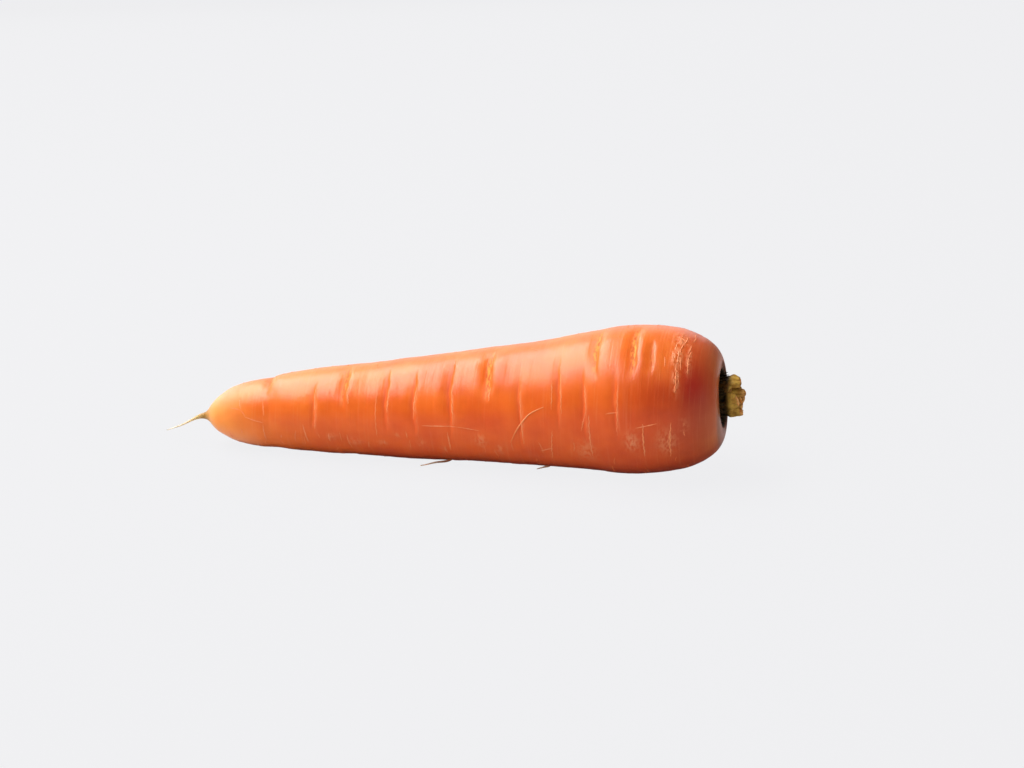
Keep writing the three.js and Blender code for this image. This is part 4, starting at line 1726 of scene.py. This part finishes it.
def make_surroundings(colour):
    """A world that shows the floor's colour to the camera and lights the carrot more dimly."""
    world = bpy.data.worlds.new("pale_room")
    world.use_nodes = True
    tree = world.node_tree
    tree.nodes.clear()
    path = tree.nodes.new("ShaderNodeLightPath").outputs
    lit, shown = (
        node(tree, "ShaderNodeBackground", {"Color": opaque(colour), "Strength": strength}).outputs[0]
        for strength in (ROOM_LIGHT, 1.0)
    )
    either = node(tree, "ShaderNodeMixShader", {0: path["Is Camera Ray"], 1: lit, 2: shown}).outputs[0]
    output = tree.nodes.new("ShaderNodeOutputWorld")
    tree.links.new(either, output.inputs["Surface"])
    bpy.context.scene.world = world


def soft_light(name, place, width, depth, power, mirrored=True):
    """A rectangular area light at a place, turned to the middle of the carrot. The camera doesn't see it, and
    one that isn't mirrored leaves no highlight either."""
    data = bpy.data.lights.new(name, "AREA")
    data.shape = "RECTANGLE"
    data.size = width
    data.size_y = depth
    data.energy = power
    light = bpy.data.objects.new(name, data)
    light.location = place
    light.rotation_euler = (Vector(LIGHT_AIM) - Vector(place)).to_track_quat("-Z", "Y").to_euler()
    light.visible_camera = False
    light.visible_glossy = mirrored
    bpy.context.scene.collection.objects.link(light)


def make_camera():
    """The camera stands its distance from its aim, at its azimuth and elevation, and looks at the aim."""
    azimuth, elevation = math.radians(CAMERA_AZIMUTH), math.radians(CAMERA_ELEVATION)
    flat = math.cos(elevation)
    back = Vector((math.sin(azimuth) * flat, -math.cos(azimuth) * flat, math.sin(elevation)))
    data = bpy.data.cameras.new("camera")
    data.lens = CAMERA_LENS
    data.sensor_width = CAMERA_SENSOR
    camera = bpy.data.objects.new("camera", data)
    camera.location = Vector(CAMERA_AIM) + back * CAMERA_DISTANCE
    camera.rotation_euler = (-back).to_track_quat("-Z", "Y").to_euler()
    bpy.context.scene.collection.objects.link(camera)
    bpy.context.scene.camera = camera


class CARROT_OT_stage(bpy.types.Operator):
    """Sets up the pale floor, the soft light and the camera"""

    bl_idname = "carrot.set_stage"
    bl_label = "Stage, light and camera"

    def execute(self, context):
        settings = context.scene.carrot_stage
        make_floor(settings.floor_colour)
        make_surroundings(settings.floor_colour)
        soft_light("key_light", *KEY_LIGHT, settings.key_power)
        soft_light("back_light", *BACK_LIGHT, settings.back_power)
        for name, (place, width, depth, share) in FILL_LIGHTS.items():
            soft_light(name, place, width, depth, settings.fill_power * share, mirrored=False)
        make_camera()
        context.scene.view_settings.view_transform = "Standard"
        return {"FINISHED"}


PIECE_OPERATORS = (CARROT_OT_skin, CARROT_OT_scars, CARROT_OT_rootlets, CARROT_OT_stalks, CARROT_OT_scales)


class CARROT_PT_panel(bpy.types.Panel):
    """The carrot's pieces, its stage and their settings"""

    bl_idname = "CARROT_PT_panel"
    bl_label = "Carrot"
    bl_space_type = "VIEW_3D"
    bl_region_type = "UI"
    bl_category = "Carrot"

    def draw(self, context):
        layout = self.layout
        for operator in (*PIECE_OPERATORS, CARROT_OT_stage):
            layout.operator(operator.bl_idname)
        for key, settings_class in SETTINGS.items():
            box = layout.box()
            box.label(text=settings_class.__doc__.rstrip("."))
            for name in settings_class.__annotations__:
                box.prop(getattr(context.scene, key), name)


SETTINGS = {
    "carrot_skin": CarrotSkinSettings,
    "carrot_rootlets": CarrotRootletSettings,
    "carrot_crown": CarrotCrownSettings,
    "carrot_stage": CarrotStageSettings,
}
CLASSES = (*SETTINGS.values(), *PIECE_OPERATORS, CARROT_OT_stage, CARROT_PT_panel)


def register():
    """Registers the classes and hangs the settings on the scene."""
    for cls in CLASSES:
        bpy.utils.register_class(cls)
    for key, settings_class in SETTINGS.items():
        setattr(bpy.types.Scene, key, PointerProperty(type=settings_class))


def unregister():
    """Takes the settings off the scene and the classes out again."""
    for key in SETTINGS:
        delattr(bpy.types.Scene, key)
    for cls in reversed(CLASSES):
        bpy.utils.unregister_class(cls)


def main():
    """Makes every piece and the stage."""
    register()
    bpy.ops.carrot.grow_skin()
    bpy.ops.carrot.lay_scars()
    bpy.ops.carrot.grow_rootlets()
    bpy.ops.carrot.cut_stalks()
    bpy.ops.carrot.set_scales()
    bpy.ops.carrot.set_stage()


if __name__ == "__main__":
    main()
